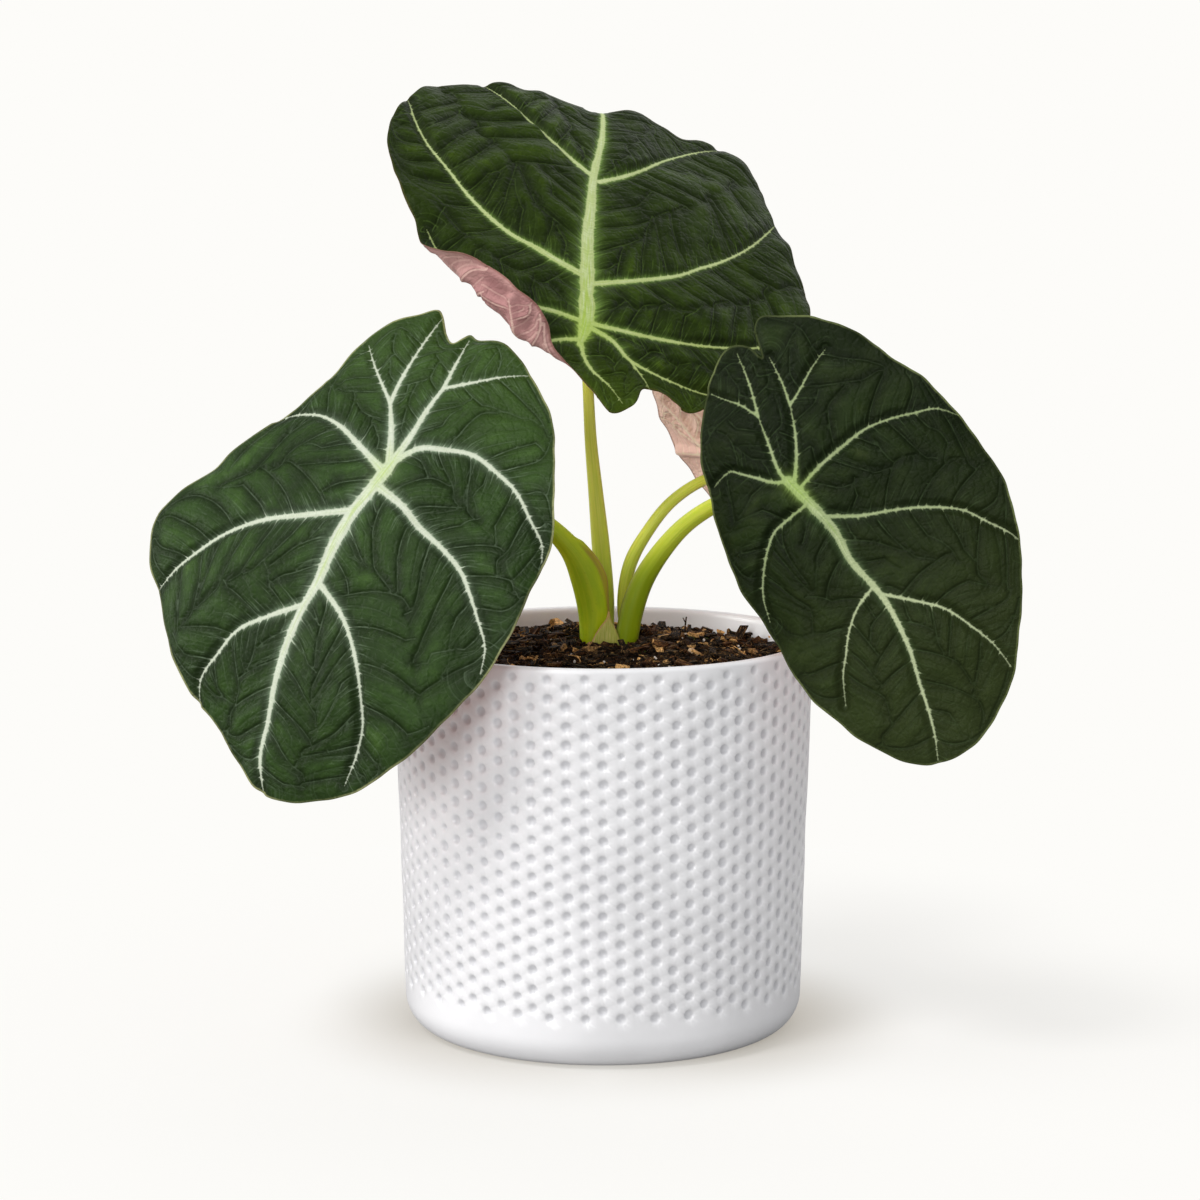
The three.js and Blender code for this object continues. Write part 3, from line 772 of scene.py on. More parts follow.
    def met_by(self, tip, spot):
        """A point of another fine vein close to the spot, if there is one."""
        column, row = cell_of(spot)
        own = (tip["id"], tip.get("from"))
        for dx in (-1, 0, 1):
            for dy in (-1, 0, 1):
                number, x, y = self.taken.get((column + dx, row + dy), (tip["id"], 0, 0))
                if number not in own and (x - spot[0]) ** 2 + (y - spot[1]) ** 2 < MEET_SQUARED:
                    return np.array([x, y])
        return None


def to_line(p, line):
    """Distance of each point to an open line of short segments, and how far along it that is."""
    a, b = line[:-1], line[1:]
    ab = b - a
    size = np.einsum("ij,ij->i", ab, ab)
    far = lengths(line)
    best = np.full(len(p), 1e9)
    along = np.zeros(len(p))
    at_once = 4000
    for start in range(0, len(p), at_once):
        q = p[start:start + at_once, None, :] - a[None]
        t = np.clip(np.einsum("nij,ij->ni", q, ab) / size, 0, 1)
        gap = q - ab[None] * t[..., None]
        d = np.einsum("nij,nij->ni", gap, gap)
        k = d.argmin(1)
        row = np.arange(len(k))
        best[start:start + at_once] = np.sqrt(d[row, k])
        along[start:start + at_once] = far[k] + t[row, k] * (far[k + 1] - far[k])
    return best, along


def to_main_veins(xy, veins):
    """For each point: the gap to the nearest main vein's edge and to the second one's, the glow, and
    the nearest one's half width, the length along it and the signed distance from its middle."""
    count = len(xy)
    at = SimpleNamespace(
        gap=np.full(count, 99.0), second=np.full(count, 99.0), glow=np.zeros(count),
        along=np.zeros(count), side=np.zeros(count), width=np.ones(count))
    for v in veins:
        line, far = v["line"], lengths(v["line"])
        boxed = (xy > line.min(0) - VEIN_REACH) & (xy < line.max(0) + VEIN_REACH)
        near = np.where(boxed.all(1))[0]
        d, t = to_line(xy[near], line)
        half = np.interp(t, far, v["half"])
        gx, gy = sampled(np.gradient(line, axis=0), far, t).T
        x, y = (xy[near] - sampled(line, far, t)).T
        sign = np.sign(gx * y - gy * x)
        g = d - half
        glow = np.exp(-np.maximum(g, 0) / (0.3 + 0.5 * half)) * smooth_step(0.1, 1.0, half)
        at.glow[near] = np.maximum(at.glow[near], glow)
        closer = g < at.gap[near]
        at.second[near] = np.where(closer, at.gap[near], np.minimum(at.second[near], g))
        index = near[closer]
        at.gap[index] = g[closer]
        at.along[index] = t[closer]
        at.side[index] = (sign * d)[closer]
        at.width[index] = half[closer]
    return at


def nearest_vein(xy, net):
    """For each point: distance to the nearest fine vein, how far along it, its number and its side."""
    points = np.concatenate([c["line"] for c in net])
    curve = np.concatenate([np.full(len(c["line"]), i) for i, c in enumerate(net)])
    order = np.concatenate([np.arange(len(c["line"])) for c in net])
    tree = tree_of(points)
    count = len(xy)
    fine, run = np.full(count, 9.0), np.zeros(count)
    which, lean = np.zeros(count, int), np.zeros(count)
    for i in range(count):
        x, y = xy[i]
        _, k, d = tree.find((x, y, 0))
        line, j = net[curve[k]]["line"], int(order[k])
        s, turn = j * VEIN_STEP, 0.0
        for n in (j - 1, j):
            if 0 <= n < len(line) - 1:
                ux, uy = line[n]
                wx, wy = line[n + 1][0] - ux, line[n + 1][1] - uy
                size = wx * wx + wy * wy
                if size > 1e-9:
                    f = min(1.0, max(0.0, ((x - ux) * wx + (y - uy) * wy) / size))
                    e = math.hypot(x - ux - wx * f, y - uy - wy * f)
                    if e <= d:
                        d, s = e, (n + f) * VEIN_STEP
                        turn = wx * (y - uy) - wy * (x - ux)
        fine[i], run[i], which[i] = d, s, curve[k]
        lean[i] = math.copysign(1.0, turn) * net[curve[k]]["side"]
    return fine, run, which, lean


def add_fine_veins(at, xy, net):
    """The same for the fine veins, and the reach of the pale spurs at their feet."""
    at.fine, at.run, which, _ = nearest_vein(xy, net)
    at.force = np.array([c["strength"] for c in net])[which]
    room = np.array([c["white"] if c["rooted"] else 0.01 for c in net])[which]
    at.white = np.where(room > 0.05, at.fine - 0.18 * (1 - at.run / room), 9.0)
    at.bold, _, _, at.lean = nearest_vein(xy, [c for c in net if c["bold"]])


def margin_wave(leaf, margin, xy):
    """The margin's wave out of the sheet, which fades quickly toward the middle."""
    angle = np.unwrap(np.arctan2(margin[:, 1], margin[:, 0]))
    way = -1 if angle[-1] < angle[0] else 1
    ring_angle = np.maximum.accumulate(angle[::way])
    ring_size = np.linalg.norm(margin, axis=1)[::way]
    ring_turn = (np.arange(len(margin)) / len(margin))[::way]
    here = np.arctan2(xy[:, 1], xy[:, 0])
    here = ring_angle[0] + np.mod(here - ring_angle[0], TAU)
    ring_angle = np.append(ring_angle, ring_angle[0] + TAU)
    ring_size = np.append(ring_size, ring_size[0])
    ring_turn = np.append(ring_turn, ring_turn[0] + way)
    ring = np.clip(np.linalg.norm(xy, axis=1) / np.interp(here, ring_angle, ring_size), 0, 1)
    spot = np.interp(here, ring_angle, ring_turn)
    waves, phase = leaf["waves"], leaf["phase"]
    wave = 0.8 * ring ** 4 * np.sin(TAU * waves * spot + phase)
    return wave + 0.3 * ring ** 12 * np.sin(TAU * (waves * 3 + 1) * spot + 2 * phase)


def tissue(leaf, xy, at):
    """Tissue swells between the veins; the main veins lie in valleys and the fine ones in creases.
    Returns the relief of the fine veins and the whole height."""
    seed = leaf["seed"]
    swell = leaf["puff"] * (1 - bell(at.open_gap, 8.0))
    bed = np.maximum(0, 1 - (np.maximum(0, at.gap + at.width) / at.width) ** 2)
    valley = -0.55 * bell(at.open_gap, 1.3) + 0.16 * bed
    uneven = 1 + 0.6 * value_noise(xy / 14.0, seed + 4)
    crease = -0.16 * at.force * bell(at.fine, 0.6) - 0.36 * bell(at.bold, 0.9)
    pillow = 0.2 * (1 - bell(at.fine, 1.4)) + 1.1 * uneven * (1 - bell(at.bold, 3.2))
    ledge = 0.3 * np.tanh(at.lean * at.bold / 0.6) * np.exp(-at.bold / 3.0)
    seam = bell(at.second - at.gap, 2.2) * smooth_step(3, 8, at.open_gap)
    relief = (crease + pillow + ledge - 0.45 * seam) * at.away
    relief *= leaf["folds"] * (0.3 + 0.7 * smooth_step(0.0, 6.0, at.rim))
    lumps = 0.6 * value_noise(xy / 11.0, seed + 1) + 0.14 * value_noise(xy / 3.6, seed + 2)
    return relief, swell + valley + relief + lumps * at.away


def under_rib(xy, at):
    """How far the veins and the swelling over the stalk stand out of the underside."""
    across = np.maximum(0, at.gap + at.width) / (at.width * 1.25)
    rib = 0.75 * at.width * np.sqrt(np.clip(1 - across ** 2, 0, 1))
    rib += 0.22 * at.force * bell(at.fine, 0.5) * at.away
    return rib * smooth_step(0.0, 1.6, at.rim) + 1.9 * np.exp(-(xy ** 2).sum(1) / 16)


def blade_points(margin, veins, net, rng):
    """Points along the margin and all veins, and an uneven grid between them."""
    low, high = margin.min(0), margin.max(0)
    rows = []
    for i, y in enumerate(np.arange(low[1], high[1], GRID * 0.866)):
        x = np.arange(low[0] + (i % 2) * GRID / 2, high[0], GRID)
        rows.append(np.stack([x, np.full(len(x), y)], 1))
    grid = np.concatenate(rows)
    grid += rng.uniform(-0.06, 0.06, grid.shape)
    lines = [(v["line"], 0.36) for v in veins] + [(c["line"], 0.42) for c in net]
    return thin_out([(margin, 0), *lines, (grid, 0.42)], 0.44)


def blade_mesh(leaf):
    """One blade: a fine triangle net that follows its veins, raised and sunk as real leaf tissue."""
    rng = np.random.default_rng(leaf["seed"] + 5)
    margin = waved_margin(leaf, rng)
    veins = main_veins(leaf)
    net = Growth(leaf, margin, veins).net()
    xy, tri = sheet_net(blade_points(margin, veins, net, rng), len(margin))
    x, y = xy.T
    at = to_main_veins(xy, veins)
    add_fine_veins(at, xy, net)
    edge = tree_of(margin)
    at.rim = np.maximum(0, np.array([edge.find((*p, 0))[2] for p in xy]) - 0.12)
    at.open_gap = np.maximum(at.gap, 0)
    at.away = smooth_step(0.2, 2.5, at.open_gap)
    relief, height = tissue(leaf, xy, at)
    height = height + margin_wave(leaf, margin, xy)
    thinned = (BLADE - BLADE_EDGE) * (1 - smooth_step(0, 2.2, at.rim)) / 2

    def place(a, b):
        return (curled if leaf["hooked"] else bent)(leaf, a, b)
    spot = place(x, y)
    out = sheet_frame(place, x, y)[2]
    top = spot + out * (BLADE / 2 + height - thinned)[:, None]
    under = spot + out * (-BLADE / 2 + height + thinned - under_rib(xy, at))[:, None]
    verts = np.concatenate([top, under]) @ np.stack(blade_frame(leaf)) + np.array(leaf["junction"])
    skew = at.along - 0.55 * abs(at.side) - 0.006 * at.side ** 2
    calm = smooth_step(0.0, 1.5, at.second - at.gap)
    zero = np.zeros(len(xy))
    fields = {
        "gap": np.minimum(at.gap, at.white),
        "glow": at.glow,
        "streak": np.stack([skew, at.side, calm], 1),
        "net": np.stack([at.fine, at.force * at.away, at.run], 1),
        "rim": np.stack([at.rim, zero, at.open_gap], 1),
        "flat": np.stack([x, y, zero], 1),
        # rise: the small relief, lowest beside the main veins. The upper face's material paints shade where
        # it is low and light where it is high; the underside's paints shade where it is high.
        "rise": relief - 0.7 * bell(at.open_gap, 2.0),
    }
    fields = {key: np.concatenate([v, v]) for key, v in fields.items()}
    fields["rim"][len(xy):, 1] = 1
    return verts, sheet_faces(tri, len(xy)), fields


def stalk_mesh(leaf):
    """A stalk: oval rings along a smooth line, ending inside the swelling under the blade."""
    end = np.array(leaf["junction"]) - 1.5 * blade_frame(leaf)[2]
    rows = np.array([*leaf["stalk"], [*end, STALK_END, STALK_END]], float)
    centre = through(rows[:, :3], parts=40)
    size = through(rows[:, 3:], even=True, parts=40)
    far = lengths(centre)
    at = np.linspace(0, far[-1], STALK_STEPS + 1)
    centre, size = sampled(centre, far, at), sampled(size, far, at)
    tangent = unit(np.gradient(centre, axis=0))
    tangent[0] = (0, 0, 1)
    foot = (centre[0] - (0, 0, STALK_SINK), size[0] * 1.04, tangent[0], -STALK_SINK)
    rings = [foot, *zip(centre, size, tangent, at)]
    angle = circle(STALK_SIDES)
    across = np.array([1.0, 0, 0])
    verts, fields = [], []
    for spot, wide, way, run in rings:
        across = unit(across - way * (across @ way))
        deep = np.cross(way, across)
        groove = 1 + 0.012 * np.sin(7 * angle + 0.4) + 0.008 * np.sin(13 * angle + 0.03 * run)
        if leaf["name"] == "leaf_left":
            lip = smooth_step(132, 140, spot[2]) * smooth_step(151.5, 149, spot[2])
            groove = groove + 0.24 * lip * smooth_step(0.86, 0.99, np.cos(angle))
        verts.append(spot + np.outer(wide[0] * np.cos(angle) * groove, across)
                     + np.outer(wide[1] * np.sin(angle) * groove, deep))
        fields.append(ring_at(0, 0, run, 3, angle))
    verts += [rings[0][0][None], rings[-1][0][None]]
    fields += [[[0, 0, rings[0][3]]], [[0, 0, rings[-1][3]]]]
    return np.concatenate(verts), tube_faces(len(rings), STALK_SIDES, "points"), np.concatenate(fields)


# Leaf colours, seen in the light of this stage: each leaf's tones are set lighter or darker to match how it
# looks in this light, so the differences between the leaves are painted light and shade, and the back
# leaf's underside is painted paler because it lies in shade. lift: the y toward which the tissue gets
# brighter, and its share; this is painted light. fade: the y range over which the veins get paler, and its
# share.
LEAF_TONES = {
    "leaf_left": colours(
        dark=(23, 38, 10), mid=(48, 73, 28), bright=(76, 106, 44), vein=(194, 201, 180),
        core=(182, 198, 136), fibre=(212, 218, 204), halo=(140, 162, 132), foot=(176, 200, 104),
        margin=(196, 198, 140), under=(204, 162, 156), under_vein=(222, 192, 176),
        under_dark=(174, 122, 118)),
    "leaf_top": colours(
        dark=(20, 31, 2), mid=(45, 63, 11), bright=(74, 96, 20), vein=(173, 187, 116),
        core=(162, 184, 84), fibre=(202, 211, 170), halo=(118, 150, 70), foot=(160, 188, 70),
        margin=(84, 80, 36), under=(172, 126, 124), under_vein=(206, 172, 160),
        under_dark=(112, 72, 72)),
    "leaf_right": colours(
        dark=(14, 23, 5), mid=(32, 45, 15), bright=(60, 70, 36), vein=(148, 162, 116),
        core=(140, 164, 88), fibre=(186, 196, 156), halo=(78, 98, 62), foot=(150, 178, 84),
        margin=(140, 152, 96), under=(208, 160, 160), under_vein=(222, 194, 174),
        under_dark=(174, 122, 124)),
    "leaf_back": colours(
        dark=(24, 40, 8), mid=(42, 64, 20), bright=(58, 86, 26), vein=(184, 199, 144),
        core=(176, 195, 116), fibre=(200, 211, 172), halo=(112, 140, 80), foot=(160, 186, 84),
        margin=(150, 160, 104), under=(250, 212, 196), under_vein=(252, 232, 204),
        under_dark=(212, 160, 140)),
}
LEAF_SHARES = {
    "leaf_left": SimpleNamespace(
        glow=0.68, foot=0.28, margin=0.5, lift=(-46.0, 0.3), fade=(0.0, 60.0, 0.1), gloss=0.1),
    "leaf_top": SimpleNamespace(
        glow=0.95, foot=0.5, margin=0.4, lift=(-26.0, 0.45), fade=(10.0, 46.0, 0.35), gloss=0.07),
    "leaf_right": SimpleNamespace(
        glow=0.9, foot=0.55, margin=0.45, lift=(84.0, 0.45), fade=(12.0, 52.0, 0.85), gloss=0.06),
    "leaf_back": SimpleNamespace(
        glow=0.8, foot=0.5, margin=0.6, lift=(84.0, 0.1), fade=(0.0, 60.0, 0.1), gloss=0.08),
}
UNDER_RIM = linear(120, 76, 62)


def leaf_fields(s):
    """What the mesh tells the material at each point, with the noises that several colours use."""
    f = SimpleNamespace(flat=s.field("flat", "Vector"), gap=s.field("gap"), glow=s.field("glow"))
    f.x, f.y, _ = s.parts(f.flat)
    f.rise = s.field("rise")
    f.skew, f.side, f.calm = s.parts(s.field("streak", "Vector"))
    f.fine, f.force, f.run = s.parts(s.field("net", "Vector"))
    f.rim, f.under, f.clear = s.parts(s.field("rim", "Vector"))
    f.slow = s.noise(f.flat, 0.045, 2.0, 0.5)
    f.grain = s.noise(f.flat, 1.6, 3.0, 0.6)
    f.hairs = s.noise(s.joined(s.times(f.skew, 1.5), s.times(f.side, 0.12), 0.0), 1.0, 3.0, 0.65)
    f.reach = s.sum("POWER", 2.718, s.times(f.clear, -0.13))
    teeth = s.times(s.plus(f.hairs, -0.5), s.times(f.calm, 1.1))
    uneven = s.times(s.plus(s.noise(f.flat, 2.2, 2.0, 0.6), -0.5), 0.2)
    f.ragged = s.plus(f.gap, s.plus(uneven, s.times(teeth, -1.0)))
    return f


def green_tissue(s, f, tone, share):
    """Painted shade in the creases and a painted pale sheen where it swells, by the relief and patches;
    mottled and finely grained, and painted lighter toward one end.
    """
    patch = s.noise(f.flat, 0.11, 4.0, 0.6)
    swell = s.plus(f.rise, s.times(s.plus(patch, -0.5), 0.8))
    # Painted shade in the creases and painted light on the swells of the relief, mixed with patchy
    # mottling.
    colour = s.mix(s.ramp(swell, -0.35, 0.95), tone.dark, tone.mid)
    # A painted pale sheen on the swells, in patches.
    pale = s.times(s.ramp(patch, 0.42, 0.75), s.ramp(swell, 0.3, 1.3, 0.15, 0.8))
    colour = s.mix(pale, colour, tone.bright)
    colour = s.mix(s.ramp(f.slow, 0.42, 0.68, 0.0, 0.45), colour, tone.dark)
    # Painted light: the tissue is painted brighter toward the lift's y.
    colour = s.mix(s.ramp(f.y, 0, share.lift[0], 0.0, share.lift[1]), colour, tone.bright)
    return s.mix(s.ramp(f.grain, 0.35, 0.75, 0.0, 0.25), colour, tone.dark)


def fine_veins(s, f, tone, colour):
    """Painted shade in the creases of the fine veins, with a thin paler line along them."""
    # Painted shade in the creases along the fine veins.
    crease = s.times(s.ramp(f.fine, 1.1, 0.2), s.ramp(f.force, 0.1, 0.9, 0.1, 0.4))
    colour = s.mix(crease, colour, tone.dark)
    line = s.times(s.ramp(f.fine, 0.30, 0.03), s.ramp(f.force, 0.2, 1.0, 0.03, 0.15))
    line = s.times(line, s.ramp(s.noise(f.flat, 0.3, 2.0, 0.5), 0.38, 0.6, 0.4, 1.0))
    line = s.times(line, s.ramp(f.run, 0.0, 20.0, 1.5, 0.6))
    return s.mix(line, colour, tone.halo)


def main_vein_colours(s, f, tone, share, colour):
    """Hairlines and a feathered glow along the main veins, and the veins themselves: a little ragged
    at the edge, yellower along the middle and streaked with paler strands."""
    faint = s.times(s.times(s.ramp(f.hairs, 0.53, 0.72), f.reach), s.times(f.calm, 0.27))
    colour = s.mix(faint, colour, tone.halo)
    feather = s.plus(0.5, s.times(s.ramp(f.hairs, 0.35, 0.7), s.times(f.calm, 0.6)))
    near = s.times(s.ramp(s.level_distance(f.x, f.y), 12.0, 1.0), share.foot)
    glow = s.sum("MULTIPLY", s.times(f.glow, feather), share.glow, clamp=True)
    colour = s.mix(glow, colour, s.mix(near, tone.halo, tone.foot))
    inner = s.mix(s.ramp(f.gap, -0.6, -1.9, 0.0, 0.9), tone.vein, tone.core)
    strand = s.noise(s.joined(s.times(f.skew, 0.12), s.times(f.side, 1.5), 0.0), 1.0, 2.0, 0.5)
    strand = s.times(s.ramp(strand, 0.42, 0.62, 0.0, 0.6), s.ramp(f.gap, -0.35, -1.1, 0.25, 1.0))
    inner = s.mix(strand, inner, tone.fibre)
    fade_from, fade_to, fade = share.fade
    inner = s.mix(s.ramp(f.y, fade_from, fade_to, 0.0, fade), inner, tone.fibre)
    inner = s.mix(near, inner, tone.foot)
    inner = s.mix(s.times(s.ramp(f.hairs, 0.4, 0.65), 0.3), inner, tone.halo)
    return s.mix(s.ramp(f.ragged, 0.22, -0.34), colour, inner)


def rosy_underside(s, f, tone):
    """Rosy, with darker streaks, painted shade in the hollows under the upper face's swellings, darker
    bands beside the fine veins, and its own paler veins.
    """
    colour = s.mix(s.ramp(f.slow, 0.35, 0.7, 0.0, 0.5), tone.under, tone.under_vein)
    # Painted shade in the underside's hollows, where the upper face swells.
    colour = s.mix(s.ramp(f.rise, 0.1, 1.1, 0.0, 0.55), colour, tone.under_dark)
    colour = s.mix(s.times(s.ramp(f.hairs, 0.5, 0.72), 0.2), colour, tone.under_dark)
    edge = s.times(s.ramp(f.fine, 1.0, 0.4), s.ramp(f.fine, 0.2, 0.4))
    colour = s.mix(s.times(edge, s.ramp(f.force, 0.1, 1.0, 0.1, 0.4)), colour, tone.under_dark)
    line = s.times(s.ramp(f.fine, 0.45, 0.15), s.ramp(f.force, 0.1, 1.0, 0.2, 0.8))
    colour = s.mix(line, colour, tone.under_vein)
    colour = s.mix(s.ramp(f.ragged, 0.3, -0.2), colour, tone.under_vein)
    return s.mix(s.ramp(f.rim, 0.9, 0.2, 0.0, 0.6), colour, UNDER_RIM)


def leaf_relief(s, f):
    """Small cells, grain, hairlines and the creases of the fine veins."""
    cell = s.cells(s.mix(0.12, f.flat, s.noise(f.flat, 0.5, 2.0, 0.5, out=1)), 0.42)
    between = s.ramp(f.gap, -0.1, 0.6, 0.1, 1.0)
    relief = s.times(s.plus(s.times(s.ramp(cell, 0.0, 0.25), 0.6), s.times(f.grain, 0.35)), between)
    relief = s.plus(relief, s.times(s.times(f.hairs, f.reach), s.times(f.calm, 0.7)))
    return s.plus(relief, s.times(s.ramp(f.fine, 0.0, 0.8), s.ramp(f.force, 0.1, 1.0, 0.2, 1.1)))


def leaf_material(name):
    s = Shader(name + "_skin")
    tone, share = LEAF_TONES[name], LEAF_SHARES[name]
    f = leaf_fields(s)
    colour = fine_veins(s, f, tone, green_tissue(s, f, tone, share))
    colour = main_vein_colours(s, f, tone, share, colour)
    pale_rim = s.ramp(f.slow, 0.4, 0.6, 0.3 * share.margin, share.margin)
    colour = s.mix(s.times(s.ramp(f.rim, 0.7, 0.2), pale_rim), colour, tone.margin)
    colour = s.mix(s.ramp(f.under, 0.45, 0.55), colour, rosy_underside(s, f, tone))
    return s.finish(
        Base_Color=colour, Roughness=s.ramp(f.grain, 0.3, 0.8, 0.4, 0.55),
        Normal=s.bump(leaf_relief(s, f), 0.5, 0.0004), Specular_IOR_Level=share.gloss,
        Sheen_Weight=0.01, Sheen_Roughness=0.4, Sheen_Tint=(0.75, 0.85, 0.75, 1.0))


def stalk_material():
    """Juicy yellow-green, with shares of pale yellow, brown and deep green given by the mesh."""
    s = Shader("stalk_green")
    around = s.field("along", "Vector")
    pale, brown, deep = s.parts(s.field("tint", "Vector"))
    long = s.noise(s.scaled(around, 1.6, 1.6, 0.05), 1.0, 4.0, 0.6)
    blotch = s.noise(s.scaled(around, 0.25, 0.25, 0.06), 1.0, 3.0, 0.55)
    speck = s.noise(s.scaled(around, 2.0, 2.0, 0.9), 1.0, 2.0, 0.5)
    colour = s.mix(s.ramp(blotch, 0.35, 0.68), linear(172, 206, 0), linear(200, 221, 6))
    colour = s.mix(s.ramp(long, 0.4, 0.72, 0.0, 0.4), colour, linear(216, 226, 40))
    colour = s.mix(s.ramp(speck, 0.62, 0.75, 0.0, 0.25), colour, linear(116, 144, 14))
    colour = s.mix(s.times(pale, s.ramp(long, 0.3, 0.7, 0.6, 1.0)), colour, linear(232, 228, 116))
    colour = s.mix(deep, colour, linear(120, 142, 4))
    colour = s.mix(s.times(brown, s.ramp(long, 0.3, 0.7, 1.0, 0.5)), colour, linear(176, 116, 66))
    relief = s.plus(s.times(long, 0.8), s.times(speck, 0.3))
    return s.finish(
        Base_Color=colour, Roughness=0.42, Normal=s.bump(relief, 0.4, 0.0003),
        Subsurface_Weight=0.25, Subsurface_Radius=(0.004, 0.005, 0.001), Subsurface_Scale=0.3,
        Specular_IOR_Level=0.32)


STALK = stalk_material()
# Pale yellow at the foot and at the top of each stalk, and brown at its foot.
STALK_TINT = {
    "leaf_top": (0.4, 0.7, 0.1), "leaf_left": (0.0, 0.12, 0.0), "leaf_right": (0.0, 0.45, 0.0),
    "leaf_back": (0.35, 0.6, 0.35),
}


def stalk_tint(name, facing, up):
    """Shares of pale yellow, brown and deep green at each point of a stalk."""
    low_pale, high_pale, low_brown = STALK_TINT[name]
    pale = low_pale + (high_pale - low_pale) * smooth_step(FOOT, 165, up)
    brown = low_brown * (1 - smooth_step(128, 146, up))
    deep = np.zeros(len(up))
    if name == "leaf_left":
        band = 0.85 * smooth_step(0.78, 0.94, facing)
        brown = np.maximum(brown, band * smooth_step(118, 124, up) * smooth_step(152, 148, up))
    if name == "leaf_right":
        deep = 0.8 - 0.7 * smooth_step(136, 160, up)
        band = smooth_step(-0.75, -0.9, facing)
        pale = np.maximum(pale, band * smooth_step(119, 123, up) * smooth_step(150, 143, up))
    return np.stack([pale, brown, deep], 1)


def leaf_piece(leaf):
    """Stalk and blade as one piece with two materials."""
    name = leaf["name"]
    verts, faces, fields = blade_mesh(leaf)
    stalk_verts, stalk_faces, along = stalk_mesh(leaf)
    n, k = len(verts), len(stalk_verts)
    fields = {key: np.concatenate([v, np.zeros((k, *v.shape[1:]))]) for key, v in fields.items()}
    tint = stalk_tint(name, along[:, 0] / 3, stalk_verts[:, 2])
    for key, values in (("along", along), ("tint", tint)):
        fields[key] = np.concatenate([np.zeros((n, 3)), values])
    piece = mesh_object(
        name + "_fine", np.concatenate([verts, stalk_verts]) * MM,
        np.concatenate([faces, stalk_faces + n]), fields, [leaf_material(name), STALK],
        np.repeat([0, 1], [len(faces), len(stalk_faces)]))
    finished(piece, name)


for leaf in (TOP_LEAF, LEFT_LEAF, RIGHT_LEAF, BACK_LEAF):
    leaf_piece(leaf)


# Pot

RIM_RADIUS, FOOT_RADIUS, FLAT_RADIUS = 65, 62, 53
WALL, WALL_TOP, RIM_LEVEL, FOOT_RISE, INNER_RISE = 3.8, 120.7, 120.2, 10, 13
POT_SIDES = 148
ROUND_POT = TAU * 63.6
COLUMNS, ROW_STEP, FIRST_ROW = 74, 5.7, 118.75
COLUMN_STEP, OUTER_STEP = ROUND_POT / COLUMNS, 5.45
PIT_RADIUS, PIT_DEPTH, PIT_CURVE = 1.78, 1.0, 2.3
PIT_RINGS = ((0.42, 6), (0.74, 12), (0.965, 12), (1.0, 12), (1.06, 12))
PIT_BORDER = 1.06


def wall_radius(z):
    return FOOT_RADIUS + (RIM_RADIUS - FOOT_RADIUS) * (z - FOOT_RISE) / (RIM_LEVEL - FOOT_RISE)


def inner_radius(z):
    share = (z - INNER_RISE) / (RIM_LEVEL - INNER_RISE)
    return FOOT_RADIUS - WALL + (RIM_RADIUS - FOOT_RADIUS) * share


def dimple_places():
    """Round pits in upright columns, every second column half a step lower, pressed a little
    unevenly. Each is its column, its height, its radius and its depth."""
    rng = np.random.default_rng(5)
    pits = []
    for column in range(COLUMNS):
        drift = rng.normal(0, 0.10)
        for row in range(19 if column % 2 == 0 else 18):
            z = FIRST_ROW - ROW_STEP * row - (ROW_STEP / 2 if column % 2 else 0)
            size = PIT_RADIUS * (1 + rng.normal(0, 0.05))
            deep = PIT_DEPTH * (1 + rng.normal(0, 0.10))
            if row == 0 and column % 2 == 0:
                size, deep = 1.6, 0.85
            if rng.random() < 0.05:
                size, deep = size * 0.75, deep * 0.7
            aside = (drift + rng.normal(0, 0.12)) / OUTER_STEP
            pits.append((column + 0.5 + aside, z + rng.normal(0, 0.14), size, deep))
    return np.array(pits)


def wall_points(pits):
    """The wall laid out flat: its border, rings of points on each pit, and points between the pits."""
    level = [ROUND_POT * i / POT_SIDES for i in range(POT_SIDES + 1)]
    seam = np.linspace(FOOT_RISE, WALL_TOP, 60)[1:-1]
    border = [(u, FOOT_RISE) for u in level] + [(ROUND_POT, z) for z in seam]
    border += [(u, WALL_TOP) for u in level[::-1]] + [(0.0, z) for z in seam[::-1]]
    points = list(border)
    for u, z, size, _ in pits:
        u *= COLUMN_STEP
        points.append((u, z))
        for ring, (part, sides) in enumerate(PIT_RINGS):
            for i in range(sides):
                a = TAU * (i + ring % 2 / 2) / sides
                x, y = u + size * part * math.cos(a), z + size * part * math.sin(a)
                if 0.25 < x < ROUND_POT - 0.25 and FOOT_RISE + 0.3 < y < WALL_TOP - 0.25:
                    points.append((x, y))
    for column in range(COLUMNS * 2):
        for row in range(40):
            u = (column + 0.5) * COLUMN_STEP / 2
            z = FIRST_ROW - ROW_STEP / 2 * row - (1.42 if column % 2 else 0)
            if FOOT_RISE + 0.6 < z < WALL_TOP - 0.5:
                gaps = np.hypot(pits[:, 0] * COLUMN_STEP - u, pits[:, 1] - z)
                if (gaps - pits[:, 2] * PIT_BORDER).min() > 0.5:
                    points.append((u, z))
    return points, len(border)


def pit_depths(flat, pits):
    """How far each point of the flat wall is pressed in. The pits repeat past both ends of the wall."""
    tree = KDTree(3 * len(pits))
    for k, (u, z, _, _) in enumerate(pits):
        for turn in (-1, 0, 1):
            tree.insert((u * COLUMN_STEP + turn * ROUND_POT, z, 0), 3 * k + turn + 1)
    tree.balance()
    sunk = np.zeros(len(flat))
    for i, (u, z) in enumerate(flat):
        for _, k, d in tree.find_n((u, z, 0), 2):
            _, _, size, deep = pits[k // 3]
            if d < size:
                sunk[i] += deep * (1 - (d / size) ** PIT_CURVE)
    return sunk


